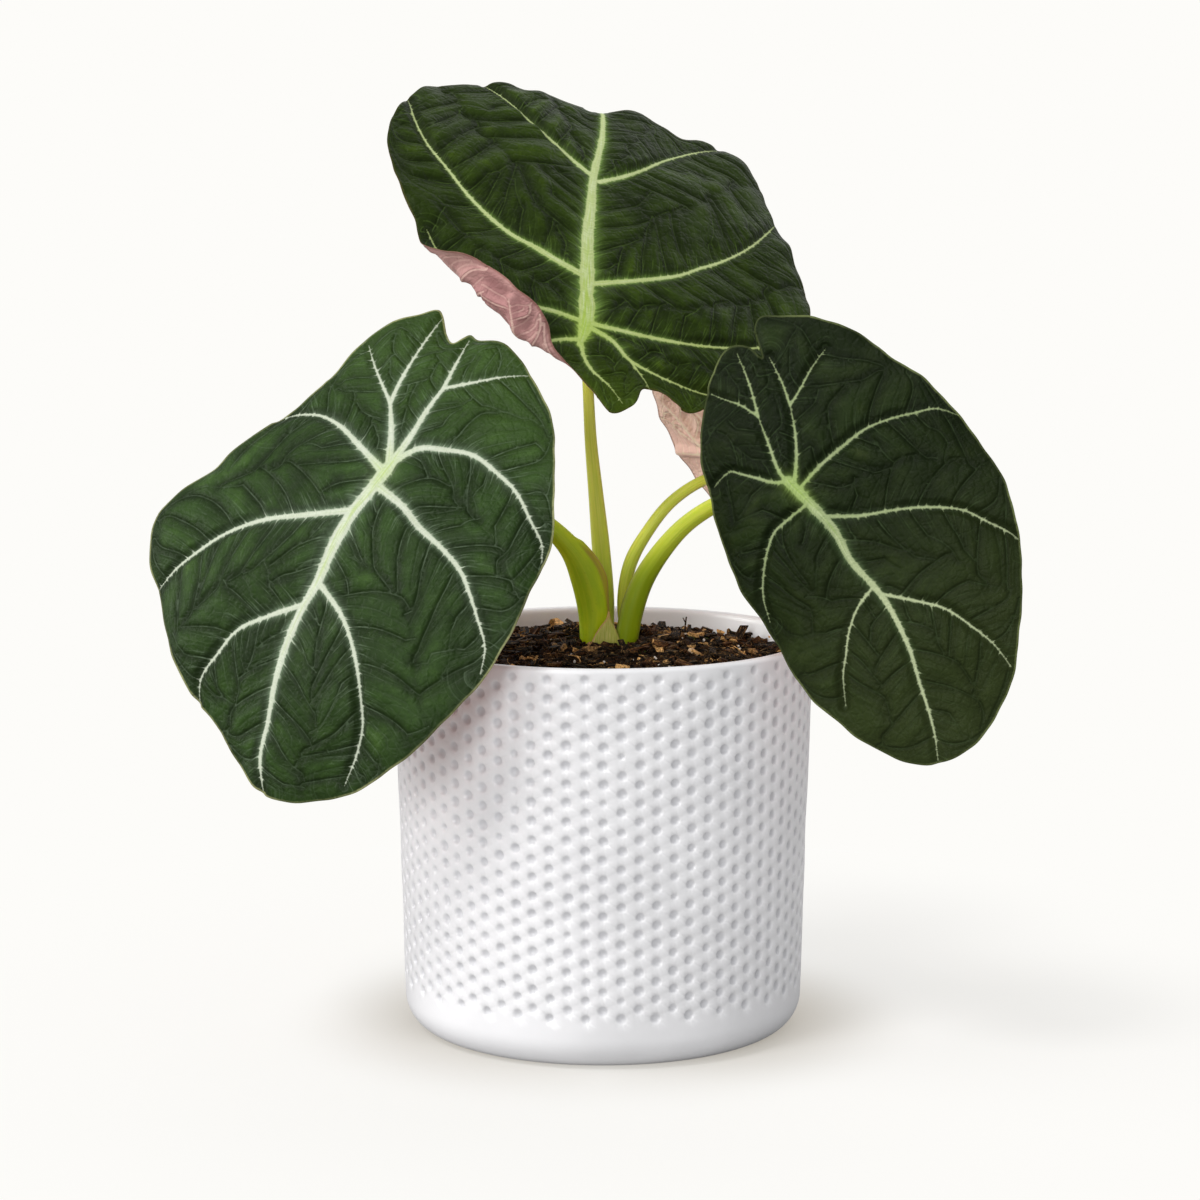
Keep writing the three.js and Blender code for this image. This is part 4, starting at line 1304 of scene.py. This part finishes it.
def dimpled_wall():
    pits = dimple_places()
    flat, tri = sheet_net(*wall_points(pits))
    z = flat[:, 1]
    sunk = pit_depths(flat, pits)
    angle = flat[:, 0] / ROUND_POT * TAU
    ends = (abs(z - FOOT_RISE) < 0.01) | (abs(z - WALL_TOP) < 0.01)
    angle[ends] = np.round(angle[ends] * POT_SIDES / TAU) * TAU / POT_SIDES
    uneven = 0.10 * value_noise(ring_at(0, 0, z / 9, 7, angle), 77)
    uneven *= smooth_step(FOOT_RISE, 18, z) * smooth_step(WALL_TOP, 117, z)
    return ring_at(0, 0, z, wall_radius(z) - sunk + uneven, angle), tri, sunk


def pot_profiles():
    """Radius and height of each ring under the wall, and of each from its top over the lip and down
    inside. Both end in the middle."""
    inner, inner_foot = RIM_RADIUS - WALL, FOOT_RADIUS - WALL
    round_foot = FOOT_RADIUS - FLAT_RADIUS
    below = [(FLAT_RADIUS + round_foot * math.sin(t), FOOT_RISE * (1 - math.cos(t)))
             for t in np.radians([*range(90, 2, -8), 4])]
    below += [(FLAT_RADIUS, 0), (52.2, 0), (51.6, 0.35), (50.8, 0.6), (49, 0.65), (30, 0.65),
              (8, 0.65), (0.001, 0.65)]
    above = [
        (wall_radius(WALL_TOP), WALL_TOP), (64.93, 121.15), (64.72, 121.5), (64.4, 121.78),
        (64.0, 121.94), (63.5, 122.0), (62.9, 121.98), (62.3, 121.86), (61.85, 121.62),
        (61.5, 121.25), (61.3, 120.7), (inner, 120.0), (inner - 0.4, 105), (inner_foot + 0.7, 40),
        (inner_foot, 13), (inner_foot - 0.8, 10), (inner_foot - 2.4, 8.2), (inner_foot - 6, 7),
        (30, 7), (0.001, 7)]
    return below, above


def pot_glaze():
    """White glaze, with painted shade in the pits, bare at the very base, and painted light on the inner
    wall, which is paler than the outside.
    """
    s = Shader("pot_glaze_white")
    depth = s.field("pit")
    spot = s.place()
    x, y, z = s.parts(spot)
    cloud = s.noise(spot, 28.0, 3.0, 0.55)
    fine = s.noise(spot, 420.0, 3.0, 0.6)
    wide = s.noise(spot, 90.0, 2.0, 0.5)
    colour = s.mix(s.ramp(cloud, 0.35, 0.7), linear(236, 236, 238), linear(228, 228, 230))
    # Painted shade in the pits, darker where they are deeper.
    colour = s.mix(s.ramp(depth, 0.0, 0.8, 0.0, 0.5), colour, linear(184, 185, 190))
    colour = s.mix(s.ramp(fine, 0.68, 0.8, 0.0, 0.12), colour, linear(190, 188, 186))
    colour = s.mix(s.times(s.ramp(z, 0.0003, 0.0001), 0.6), colour, linear(205, 196, 184))
    # Painted light: the inner wall is painted paler than the outside.
    inside = s.ramp(s.level_distance(x, y), 0.0622, 0.0614)
    colour = s.mix(s.times(inside, s.ramp(z, 0.05, 0.1)), colour, linear(251, 252, 253))
    relief = s.plus(s.times(wide, 0.9), s.times(fine, 0.12))
    return s.finish(
        Base_Color=colour, Roughness=s.ramp(cloud, 0.3, 0.7, 0.30, 0.40),
        Normal=s.bump(relief, 0.35, 0.0004), Specular_IOR_Level=0.5, Coat_Weight=0.15,
        Coat_Roughness=0.18)


def pot():
    """The dimpled wall, joined to the rounded foot and base below and to the lip and inside above."""
    verts, faces, pit = ([part] for part in dimpled_wall())
    for profile, flip in zip(pot_profiles(), (True, False)):
        start = sum(len(part) for part in verts)
        verts += [ring_at(0, 0, z, radius, circle(POT_SIDES)) for radius, z in profile]
        faces.append(start + tube_faces(len(profile), POT_SIDES, flip=flip))
        pit.append(np.zeros(len(profile) * POT_SIDES))
    verts, faces, pit = (np.concatenate(parts) for parts in (verts, faces, pit))
    _, first, same = np.unique(np.round(verts, 3), axis=0, return_index=True, return_inverse=True)
    verts, pit, faces = verts[first], pit[first], same.reshape(-1)[faces]
    whole = (faces != np.roll(faces, 1, axis=1)).all(1)
    piece = mesh_object("pot_dimpled", verts * MM, faces[whole], {"pit": pit}, [pot_glaze()])
    finished(piece, "pot")


pot()


# Soil

STEM = (2.2, 0.8)
SOIL_EDGE_Z, SOIL_TOP_Z, SOIL_GAP, SOIL_LOW = 114.5, 119.8, 0.35, 7.4
GREEN_SPOTS = [(-4, -19.2), (12.8, -17.3), (30, 12)]
STONE_SIZE, STONE_PLACE = 1.75, (27.2, -15, 1.2)
CUBE = np.array([[a, b, c] for a in (-1, 1) for b in (-1, 1) for c in (-1, 1)], float)
BARK = colours(pale=(250, 196, 124), mid=(82, 47, 19), dark=(9, 5, 2))
PEAT = colours(pale=(150, 104, 56), mid=(54, 33, 15), dark=(12, 7, 3))
MOSS = linear(74, 92, 30)


def soil_height(x, y):
    """Height of the soil, mounded toward the stem, with low lumps away from it."""
    mound = smooth_step(1, 0.25, np.hypot(x, y) / 60.6)
    lump = np.sin(0.31 * x + 0.9) * np.cos(0.37 * y) + 0.7 * np.sin(0.53 * y - 0.47 * x)
    share = smooth_step(14, 26, np.hypot(x - STEM[0], y - STEM[1]))
    return SOIL_EDGE_Z + (SOIL_TOP_Z - SOIL_EDGE_Z) * mound + 0.7 * lump * share


def soil_material(name, colour_set, crumb):
    """Fibrous and grainy. The mesh gives each lump its tone and its share of moss."""
    s = Shader(name)
    pale, mid, dark = colour_set.pale, colour_set.mid, colour_set.dark
    grain = s.field("grain", "Vector")
    tone, moss, _ = s.parts(s.field("tone", "Vector"))
    spot = s.scaled(s.place(), 1000, 1000, 1000)
    fibre = s.noise(s.scaled(grain, 0.35, 3.2, 3.2), 1.0, 4.0, 0.65)
    fine = s.noise(spot, 1.7, 4.0, 0.65)
    colour = s.mix(s.ramp(tone, 0.0, 0.55), dark, mid)
    colour = s.mix(s.ramp(tone, 0.72, 1.0), colour, pale)
    colour = s.mix(s.times(s.ramp(fibre, 0.5, 0.74), 0.55), colour, pale)
    colour = s.mix(s.ramp(fibre, 0.5, 0.3, 0.0, 0.8), colour, dark)
    colour = s.mix(s.ramp(fine, 0.56, 0.4, 0.0, 0.75), colour, dark)
    colour = s.mix(s.times(moss, s.ramp(fine, 0.3, 0.6, 0.35, 0.95)), colour, MOSS)
    relief = s.plus(s.times(fibre, 0.8), s.times(fine, crumb))
    return s.finish(
        Base_Color=colour, Roughness=s.ramp(fine, 0.35, 0.7, 0.62, 0.9),
        Normal=s.bump(relief, 0.8, 0.0006), Specular_IOR_Level=0.15)


def perlite_material():
    s = Shader("soil_perlite")
    tone = s.parts(s.field("tone", "Vector"))[0]
    pits = s.noise(s.field("grain", "Vector"), 5.0, 3.0, 0.6)
    colour = s.mix(s.ramp(tone, 0.7, 0.95), linear(214, 208, 198), linear(202, 172, 136))
    colour = s.mix(s.ramp(pits, 0.55, 0.35, 0.0, 0.6), colour, linear(130, 104, 80))
    return s.finish(
        Base_Color=colour, Roughness=s.ramp(pits, 0.3, 0.7, 0.7, 0.9),
        Normal=s.bump(pits, 0.6, 0.0003))


def soil_body(earth):
    """The mix that fills the pot: an uneven top, and a plain underside that follows the pot."""
    slices, rings = 150, 56
    turn = circle(slices)
    part = np.linspace(0.004, 1, rings)
    radius = part * (inner_radius(SOIL_EDGE_Z) - SOIL_GAP)
    x, y = (np.outer(radius, way(turn)).ravel() for way in (np.cos, np.sin))
    spot = np.stack([x, y], 1)
    z = soil_height(x, y) + 0.45 * value_noise(spot / 2.4, 3) + 0.3 * value_noise(spot / 0.9, 4)
    z += 0.5 * smooth_step(0.93, 1.0, np.repeat(part, slices))
    by_stem = np.hypot(x - STEM[0], y - STEM[1]) < 9
    z = np.where(by_stem, np.minimum(z, 119.0), z)
    profile = [(inner_radius(h) - SOIL_GAP, h) for h in (60, 20)]
    profile += [(57.8, 13.5), (55.4, 9.4), (51.9, SOIL_LOW), (0.2, SOIL_LOW)]
    under = [ring_at(0, 0, h, r, turn) for r, h in profile]
    verts = np.concatenate([np.stack([x, y, z], 1), *under, [[0, 0, z[0]], [0, 0, SOIL_LOW]]])
    faces = tube_faces(rings + len(profile), slices, "points", flip=True)
    tone = np.zeros((len(verts), 3))
    tone[:, 0] = 0.2 + 0.25 * value_noise(verts[:, :2] / 3.0, 9)
    piece = mesh_object("soil_body", verts * MM, faces, {"grain": verts, "tone": tone}, [earth])
    finished(piece, "soil")


def shape_of(bm):
    """The vertices and faces of a small working mesh, which is then freed."""
    bm.verts.index_update()
    verts = np.array([tuple(v.co) for v in bm.verts])
    faces = np.array([[v.index for v in f.verts] for f in bm.faces])
    bm.free()
    return verts, faces


def hull(points):
    """The convex solid round a few points."""
    bm = bmesh.new()
    for p in points:
        bm.verts.new(p)
    found = bmesh.ops.convex_hull(bm, input=bm.verts)
    inside = {g for g in found["geom_interior"] + found["geom_unused"] if isinstance(g, bmesh.types.BMVert)}
    bmesh.ops.delete(bm, geom=list(inside), context="VERTS")
    bmesh.ops.triangulate(bm, faces=bm.faces[:])
    bmesh.ops.recalc_face_normals(bm, faces=bm.faces[:])
    return shape_of(bm)


def ball(parts):
    bm = bmesh.new()
    bmesh.ops.create_icosphere(bm, subdivisions=parts, radius=1)
    return shape_of(bm)


def turned_by(rng, tilt):
    """A random turn about the upright axis, and then a random tilt, mostly under that many degrees."""
    a = rng.uniform(0, TAU)
    t = math.radians(rng.normal(0, tilt))
    b = rng.uniform(0, TAU)
    c, s = math.cos(a), math.sin(a)
    spin = np.array([[c, -s, 0], [s, c, 0], [0, 0, 1]])
    x, y = math.cos(b), math.sin(b)
    cross = np.array([[0, 0, y], [0, 0, -x], [-y, x, 0]])
    lean = np.eye(3) + math.sin(t) * cross + (1 - math.cos(t)) * cross @ cross
    return lean @ spin


def open_spot(rng, reach, clear):
    """A random place in the pot for a lump of that reach, with the stem left clear."""
    while True:
        r = 60.2 * math.sqrt(rng.random())
        a = rng.uniform(0, TAU)
        x, y = r * math.cos(a), r * math.sin(a)
        if r + reach < 60.0 and math.hypot(x - STEM[0], y - STEM[1]) > clear:
            return x, y


def mossy(x, y, rng):
    near = min(math.hypot(x - a, (y - b) / 0.8) for a, b in GREEN_SPOTS)
    return 0.9 if near < 2.6 and rng.random() < 0.75 else 0.0


class Heap:
    """Many small solids gathered into one mesh."""

    def __init__(self):
        self.verts, self.faces, self.grain, self.tone, self.count = [], [], [], [], 0

    def add(self, verts, faces, grain, tone, moss=0.0):
        self.verts.append(verts)
        self.faces.append(faces + self.count)
        self.grain.append(grain)
        self.tone.append(np.tile((tone, moss, 0.0), (len(verts), 1)))
        self.count += len(verts)

    def piece(self, name, material, flat):
        fields = {"grain": np.concatenate(self.grain), "tone": np.concatenate(self.tone)}
        piece = mesh_object(name, np.concatenate(self.verts) * MM, np.concatenate(self.faces), fields,
                            [material], flat=flat)
        finished(piece, "soil")


def add_flakes(bark, rng):
    """Bark flakes, lying flat or a little on edge."""
    for _ in range(1500):
        length = rng.uniform(2.0, 7.6) * (0.65 if rng.random() < 0.6 else 1.0)
        wide = length * rng.uniform(0.24, 0.52)
        thick = rng.uniform(0.6, 2.0)
        x, y = open_spot(rng, length / 2, 11.5 + length / 2)
        corners = CUBE * rng.uniform(0.55, 1.0, (8, 3))
        extra = rng.uniform(-1, 1, (9, 3)) * (1.0, 0.95, 0.9)
        verts, faces = hull(np.concatenate([corners, extra]) * (length / 2, wide / 2, thick / 2))
        turned = verts @ turned_by(rng, 26).T
        z = float(soil_height(x, y)) + rng.uniform(-0.6, 1.7) + 0.22 * length * (rng.random() ** 2)
        pick = rng.random()
        tone = rng.uniform(*((0, 0.1) if pick < 0.58 else (0.2, 0.6) if pick < 0.83 else (0.8, 1)))
        grain = verts + rng.uniform(0, 50, 3)
        bark.add(turned + (x, y, z), faces, grain, tone, mossy(x, y, rng))


def add_foot_flakes(bark, rng):
    """A ring of small flakes pushed against the stalks' feet."""
    for _ in range(90):
        a = rng.uniform(0, TAU)
        length = rng.uniform(1.6, 3.8)
        r = 11.0 + rng.uniform(-0.3, 2.2)
        x, y = STEM[0] + r * math.cos(a), STEM[1] + 0.95 * r * math.sin(a)
        verts, faces = hull(rng.uniform(-1, 1, (14, 3)) * (length / 2, length * 0.28, 0.55))
        turned = verts @ turned_by(rng, 30).T
        z = 119.9 + rng.uniform(-0.6, 0.8)
        bark.add(turned + (x, y, z), faces, verts + rng.uniform(0, 50, 3), rng.uniform(0.1, 0.7))


def add_crumbs(crumbs, rng):
    """Knobbly crumbs of peat."""
    grain, faces = ball(1)
    for _ in range(3000):
        size = rng.uniform(0.35, 1.15)
        x, y = open_spot(rng, size, 9.6)
        shape = grain * rng.uniform(0.65, 1.25, (len(grain), 1)) * rng.uniform(0.6, 1.2, 3) * size
        shape = shape @ turned_by(rng, 40).T
        z = float(soil_height(x, y)) + rng.uniform(0.1, 0.9)
        crumbs.add(shape + (x, y, z), faces, shape + rng.uniform(0, 50, 3), rng.beta(1.2, 3.5),
                   mossy(x, y, rng))


def rings_round(centre, radius, across, deep, sides):
    """Points of the rings of a thin tube, one ring for each point of its centre line."""
    turn = circle(sides)[:, None]
    ring = np.cos(turn) * np.expand_dims(across, -2) + np.sin(turn) * np.expand_dims(deep, -2)
    return (centre[:, None] + radius[:, None, None] * ring).reshape(-1, 3)


def add_fibres(bark, rng):
    """Thin bent threads that lie on the bark."""
    steps, sides = 7, 4
    t = np.linspace(-0.5, 0.5, steps)
    faces = tube_faces(steps, sides, "fans", flip=True)
    for _ in range(260):
        length = rng.uniform(3, 9)
        x, y = open_spot(rng, length / 2, 11.5 + length / 2)
        way = rng.uniform(0, TAU)
        bow = rng.normal(0, 0.16)
        u = t * length
        v = bow * length * (t ** 2 - 0.08) + 0.04 * length * np.sin(9 * t + rng.uniform(0, 6))
        x = x + u * math.cos(way) - v * math.sin(way)
        y = y + u * math.sin(way) + v * math.cos(way)
        z = soil_height(x, y) + rng.uniform(0.3, 1.2) + rng.normal(0, 0.6) * t
        centre = np.stack([x, y, z], 1)
        tangent = unit(np.gradient(centre, axis=0))
        across = unit(np.cross(tangent, (0, 0, 1.0)))
        radius = rng.uniform(0.10, 0.24) * (1 - 1.3 * t ** 2)
        tube = rings_round(centre, radius, across, np.cross(across, tangent), sides)
        grain = np.zeros((steps * sides, 3))
        grain[:, 0] = np.repeat(u, sides)
        bark.add(tube, faces, grain, rng.uniform(0.55, 1.0))


def add_twig(bark):
    """A small dark forked twig that stands up at the back."""
    stem = [[26.2, 19.6, 118.6], [26.0, 20.0, 121.6], [26.4, 20.2, 124.9]]
    fork = [[26.1, 20.0, 123.0], [25.3, 20.1, 124.6]]
    for points, size in ((stem, 0.34), (fork, 0.22)):
        path = through(points, parts=3)
        radius = size * (1 - 0.4 * np.arange(len(path)) / len(path))
        tube = rings_round(path, radius, (1.0, 0, 0), (0, 1.0, 0), 6)
        bark.add(tube, tube_faces(len(path), 6, "fans"), tube, 0.02)


def add_grains(grains, rng):
    """White grains, after one larger cream stone that has a place of its own."""
    grit, faces = ball(2)
    for k in range(120):
        stone = k == 0
        size = STONE_SIZE if stone else rng.uniform(0.22, 0.5)
        x, y = open_spot(rng, size, 12)
        rise = rng.uniform(0.7, 1.4)
        if stone:
            x, y, rise = STONE_PLACE
        z = float(soil_height(x, y)) + rise
        uneven = 1 + 0.16 * value_noise(grit * 1.8 + k, 30)[:, None]
        shape = grit * uneven * rng.uniform(0.75, 1.15, 3) * size
        grains.add(shape + (x, y, z), faces, shape * 0.4 + k, 1.0 if stone else 0.6)


def soil():
    rng = np.random.default_rng(8)
    earth = soil_material("soil_earth", PEAT, 1.2)
    soil_body(earth)
    bark, crumbs, grains = Heap(), Heap(), Heap()
    add_flakes(bark, rng)
    add_foot_flakes(bark, rng)
    add_crumbs(crumbs, rng)
    add_fibres(bark, rng)
    add_twig(bark)
    add_grains(grains, rng)
    bark.piece("soil_bark", soil_material("soil_bark_flakes", BARK, 0.5), True)
    crumbs.piece("soil_crumbs", earth, True)
    grains.piece("soil_perlite", perlite_material(), False)


soil()


# Stem base and scale leaf

SHEATH_RADIUS, SHEATH_LOW, SHEATH_PLACE = 8.4, -4.6, (0.9, 0.8)
SHEATH_OUTLINE = [
    [-4.6, -4.6], [0, -4.6], [4.4, -4.6], [4.2, -2.4], [3, 0.6], [1.7, 3.4], [1, 6], [0, 3.6],
    [-2, 1], [-3.8, -2]]
STEM_LOW, STEM_TALL = 96.05, 23.5


def papery_material():
    s = Shader("papery_scale")
    along = s.field("along", "Vector")
    lines = s.noise(s.scaled(along, 3.0, 0.25, 1.0), 1.0, 3.0, 0.6)
    x, y, _ = s.parts(along)
    colour = s.mix(s.ramp(lines, 0.35, 0.7), linear(178, 186, 66), linear(206, 204, 108))
    colour = s.mix(s.ramp(y, 1.0, 6.0, 0.0, 0.6), colour, linear(196, 150, 84))
    brown = s.times(s.ramp(s.field("rim"), 0.7, 0.05, 0.0, 0.8), s.ramp(x, 1.5, -1.0, 0.4, 1.0))
    colour = s.mix(brown, colour, linear(190, 124, 84))
    return s.finish(
        Base_Color=colour, Roughness=0.5, Normal=s.bump(lines, 0.5, 0.0002), Subsurface_Weight=0.2,
        Subsurface_Radius=(0.004, 0.003, 0.001), Subsurface_Scale=0.2)


def scale_leaf():
    """A small papery leaf wrapped round the front of the stalks' feet."""
    step = 0.3
    outline = stepped(SHEATH_OUTLINE, step, closed=True)
    low, high = outline.min(0), outline.max(0)
    grid = [(x, y) for y in np.arange(low[1], high[1], step) for x in np.arange(low[0], high[0], step)]
    xy, tri = sheet_net(thin_out([(outline, 0), (grid, 0.2)], step), len(outline))
    x, y = xy.T
    up = y - SHEATH_LOW
    edge = tree_of(outline)
    rim = np.array([edge.find((*p, 0))[2] for p in xy])
    ribs = 0.06 * np.sin(x * 5.2 + 0.25 * y)
    angle = x / SHEATH_RADIUS - TAU / 4
    verts = []
    for out in (0.42, -0.38):
        lift = out * (0.35 + 0.65 * smooth_step(0, 0.8, rim)) + ribs
        sheet = ring_at(*SHEATH_PLACE, 0, SHEATH_RADIUS - 0.06 * up + lift, angle)
        sheet[:, 2] = up + FOOT + 0.2
        verts.append(sheet)
    along = np.stack([x, y, np.zeros(len(xy))], 1)
    fields = {"rim": np.tile(rim, 2), "along": np.tile(along, (2, 1))}
    piece = mesh_object("scale_leaf_fine", np.concatenate(verts) * MM, sheet_faces(tri, len(xy)),
                        fields, [papery_material()])
    finished(piece, "scale_leaf")


def stem_base():
    """The swollen base in the soil: rings of old scale scars round a short thick stem."""
    rings, sides = 44, 56
    turn = circle(sides)
    verts, along = [], []
    for k in range(rings):
        t = k / (rings - 1)
        z = STEM_LOW + STEM_TALL * t
        r = 9.3 * min(1, 0.62 + 1.9 * t) * (1 - 0.10 * max(0, (t - 0.94) / 0.06))
        r *= 1 - 0.012 * (1 + math.sin(38 * t))
        wobble = 1 - 0.012 * (1 + np.sin(5 * turn + 3 * t))
        verts.append(ring_at(*STEM, z, r * wobble, turn))
        along.append(ring_at(0, 0, z, 6, turn))
    verts.append([[*STEM, STEM_LOW], [*STEM, STEM_LOW + STEM_TALL]])
    along.append([[0, 0, STEM_LOW], [0, 0, STEM_LOW + STEM_TALL]])
    verts = np.concatenate(verts)
    tint = np.tile((0.0, 0.5, 0.0), (len(verts), 1))
    fields = {"along": np.concatenate(along), "tint": tint}
    piece = mesh_object("stem_base_fine", verts * MM, tube_faces(rings, sides, "points"), fields, [STALK])
    finished(piece, "stem_base")


scale_leaf()
stem_base()


# Floor, light and camera

# Each sun: name, direction round the object and height in degrees, strength, width in degrees, colour.
SUNS = (
    ("key", -44, 56, 1.2, 16, (1.0, 0.985, 0.965)),
    ("side", -90, 18, 1.1, 30, (1.0, 0.99, 0.98)),
    ("front", -24, 13, 1.02, 24, (1.0, 0.99, 0.98)),
    ("back", 160, 40, 0.48, 50, (1.0, 1.0, 1.0)),
    ("right", 112, 26, 0.25, 60, (1.0, 0.99, 0.98)),
)
AROUND = (0.97, 0.98, 1.0)
AROUND_STRENGTH = 0.6
# What the floor shows to the eye and what it throws back at the object.
PAPER = (0.982, 0.973, 0.947)
BOUNCE = (0.52, 0.515, 0.505)
SHADOW_SHARE, SHADOW_FROM, SHADOW_TO = 0.32, 0.10, 0.26
# CONTACT: the share of the floor's glow, by colour, that the painted contact shadow at the pot's foot takes
# away, and the distances over which it fades.
CONTACT, CONTACT_FROM, CONTACT_TO = (0.27, 0.295, 0.33), 0.058, 0.112
FLOOR_SIZE, FLOOR_DROP = 40.0, 0.00005
CAMERA_PLACE, CAMERA_TILT, LENS, SENSOR = (-0.00095, -1.0284, 0.2811), 81.814, 100.53, 36


def floor_light():
    """Light that falls on the open floor, by colour."""
    suns = np.sum([np.array(colour) * strength * math.sin(math.radians(height))
                   for _, _, height, strength, _, colour in SUNS], 0)
    return suns / math.pi + np.array(AROUND) * AROUND_STRENGTH


def floor_tone(s, whole, close, foot):
    """The floor's glow: whole far out, less where real shadows add to it, and least at the pot's foot,
    where a contact shadow is painted.
    """
    near = np.array(whole) - SHADOW_SHARE * floor_light()
    # least: the glow under the painted contact shadow.
    least = np.maximum(near - np.array(whole) * CONTACT, 0.0)
    return s.mix(foot, s.mix(close, (*whole, 1), (*near, 1)), (*least, 1))


def stage():
    """A white floor. Close to the pot it takes shadows, a contact shadow is painted round the pot's foot,
    and it throws less light than it shows.
    """
    s = Shader("studio_floor")
    s.tree.nodes.remove(s.body)
    x, y, _ = s.parts(s.place())
    far = s.level_distance(x, y)
    close = s.ramp(far, SHADOW_FROM, SHADOW_TO, 1.0, 0.0)
    # A painted contact shadow round the pot's foot, strongest at its sides and a little stronger on the
    # right.
    foot = s.sum("POWER", s.ramp(far, CONTACT_FROM, CONTACT_TO, 1.0, 0.0), 1.6)
    aside = s.sum("DIVIDE", x, s.plus(far, 0.001))
    foot = s.times(foot, s.plus(0.3, s.times(s.sum("ABSOLUTE", aside), 0.55)))
    foot = s.times(foot, s.plus(1.0, s.times(aside, 0.05)))
    thrown, shown = (floor_tone(s, whole, close, foot) for whole in (BOUNCE, PAPER))
    glow = s.node("ShaderNodeEmission", Color=s.mix(s.node("ShaderNodeLightPath"), thrown, shown))
    shade = s.mix(close, (0, 0, 0, 1), (SHADOW_SHARE, SHADOW_SHARE, SHADOW_SHARE, 1))
    both = s.tree.nodes.new("ShaderNodeAddShader")
    for socket, shader in zip(both.inputs, (glow, s.node("ShaderNodeBsdfDiffuse", Color=shade))):
        s.feed(socket, shader)
    s.feed(s.out.inputs["Surface"], both.outputs[0])
    corners = [(x * FLOOR_SIZE, y * FLOOR_SIZE, 0) for x, y in ((-1, -1), (1, -1), (1, 1), (-1, 1))]
    floor = mesh_object("floor", corners, [(0, 1, 2, 3)], materials=[s.material])
    floor.location.z = -FLOOR_DROP


def sun(name, direction, height, strength, width, colour):
    data = bpy.data.lights.new(name, "SUN")
    data.energy = strength
    data.angle = math.radians(width)
    data.color = colour
    lamp = bpy.data.objects.new(name, data)
    a, e = math.radians(direction), math.radians(height)
    way = Vector((math.sin(a) * math.cos(e), -math.cos(a) * math.cos(e), math.sin(e)))
    lamp.rotation_euler = way.to_track_quat("Z", "Y").to_euler()
    bpy.context.scene.collection.objects.link(lamp)


def surroundings():
    """A pale world, seen as paper but lighting the object less than it shows."""
    world = bpy.data.worlds.new("studio")
    bpy.context.scene.world = world
    world.use_nodes = True
    tree = world.node_tree
    tree.nodes.clear()
    out = tree.nodes.new("ShaderNodeOutputWorld")
    mix = tree.nodes.new("ShaderNodeMixShader")
    path = tree.nodes.new("ShaderNodeLightPath")
    tree.links.new(path.outputs["Is Camera Ray"], mix.inputs[0])
    for socket, colour, strength in ((1, AROUND, AROUND_STRENGTH), (2, PAPER, 1.0)):
        back = tree.nodes.new("ShaderNodeBackground")
        back.inputs[0].default_value = (*colour, 1)
        back.inputs[1].default_value = strength
        tree.links.new(back.outputs[0], mix.inputs[socket])
    tree.links.new(mix.outputs[0], out.inputs["Surface"])


def camera():
    data = bpy.data.cameras.new("camera")
    data.lens = LENS
    data.sensor_width = SENSOR
    data.clip_start = 0.02
    data.clip_end = 100
    cam = bpy.data.objects.new("camera", data)
    cam.location = CAMERA_PLACE
    cam.rotation_euler = (math.radians(CAMERA_TILT), 0, 0)
    bpy.context.scene.collection.objects.link(cam)
    bpy.context.scene.camera = cam


stage()
for settings in SUNS:
    sun(*settings)
surroundings()
camera()
bpy.context.scene.view_settings.view_transform = "Standard"
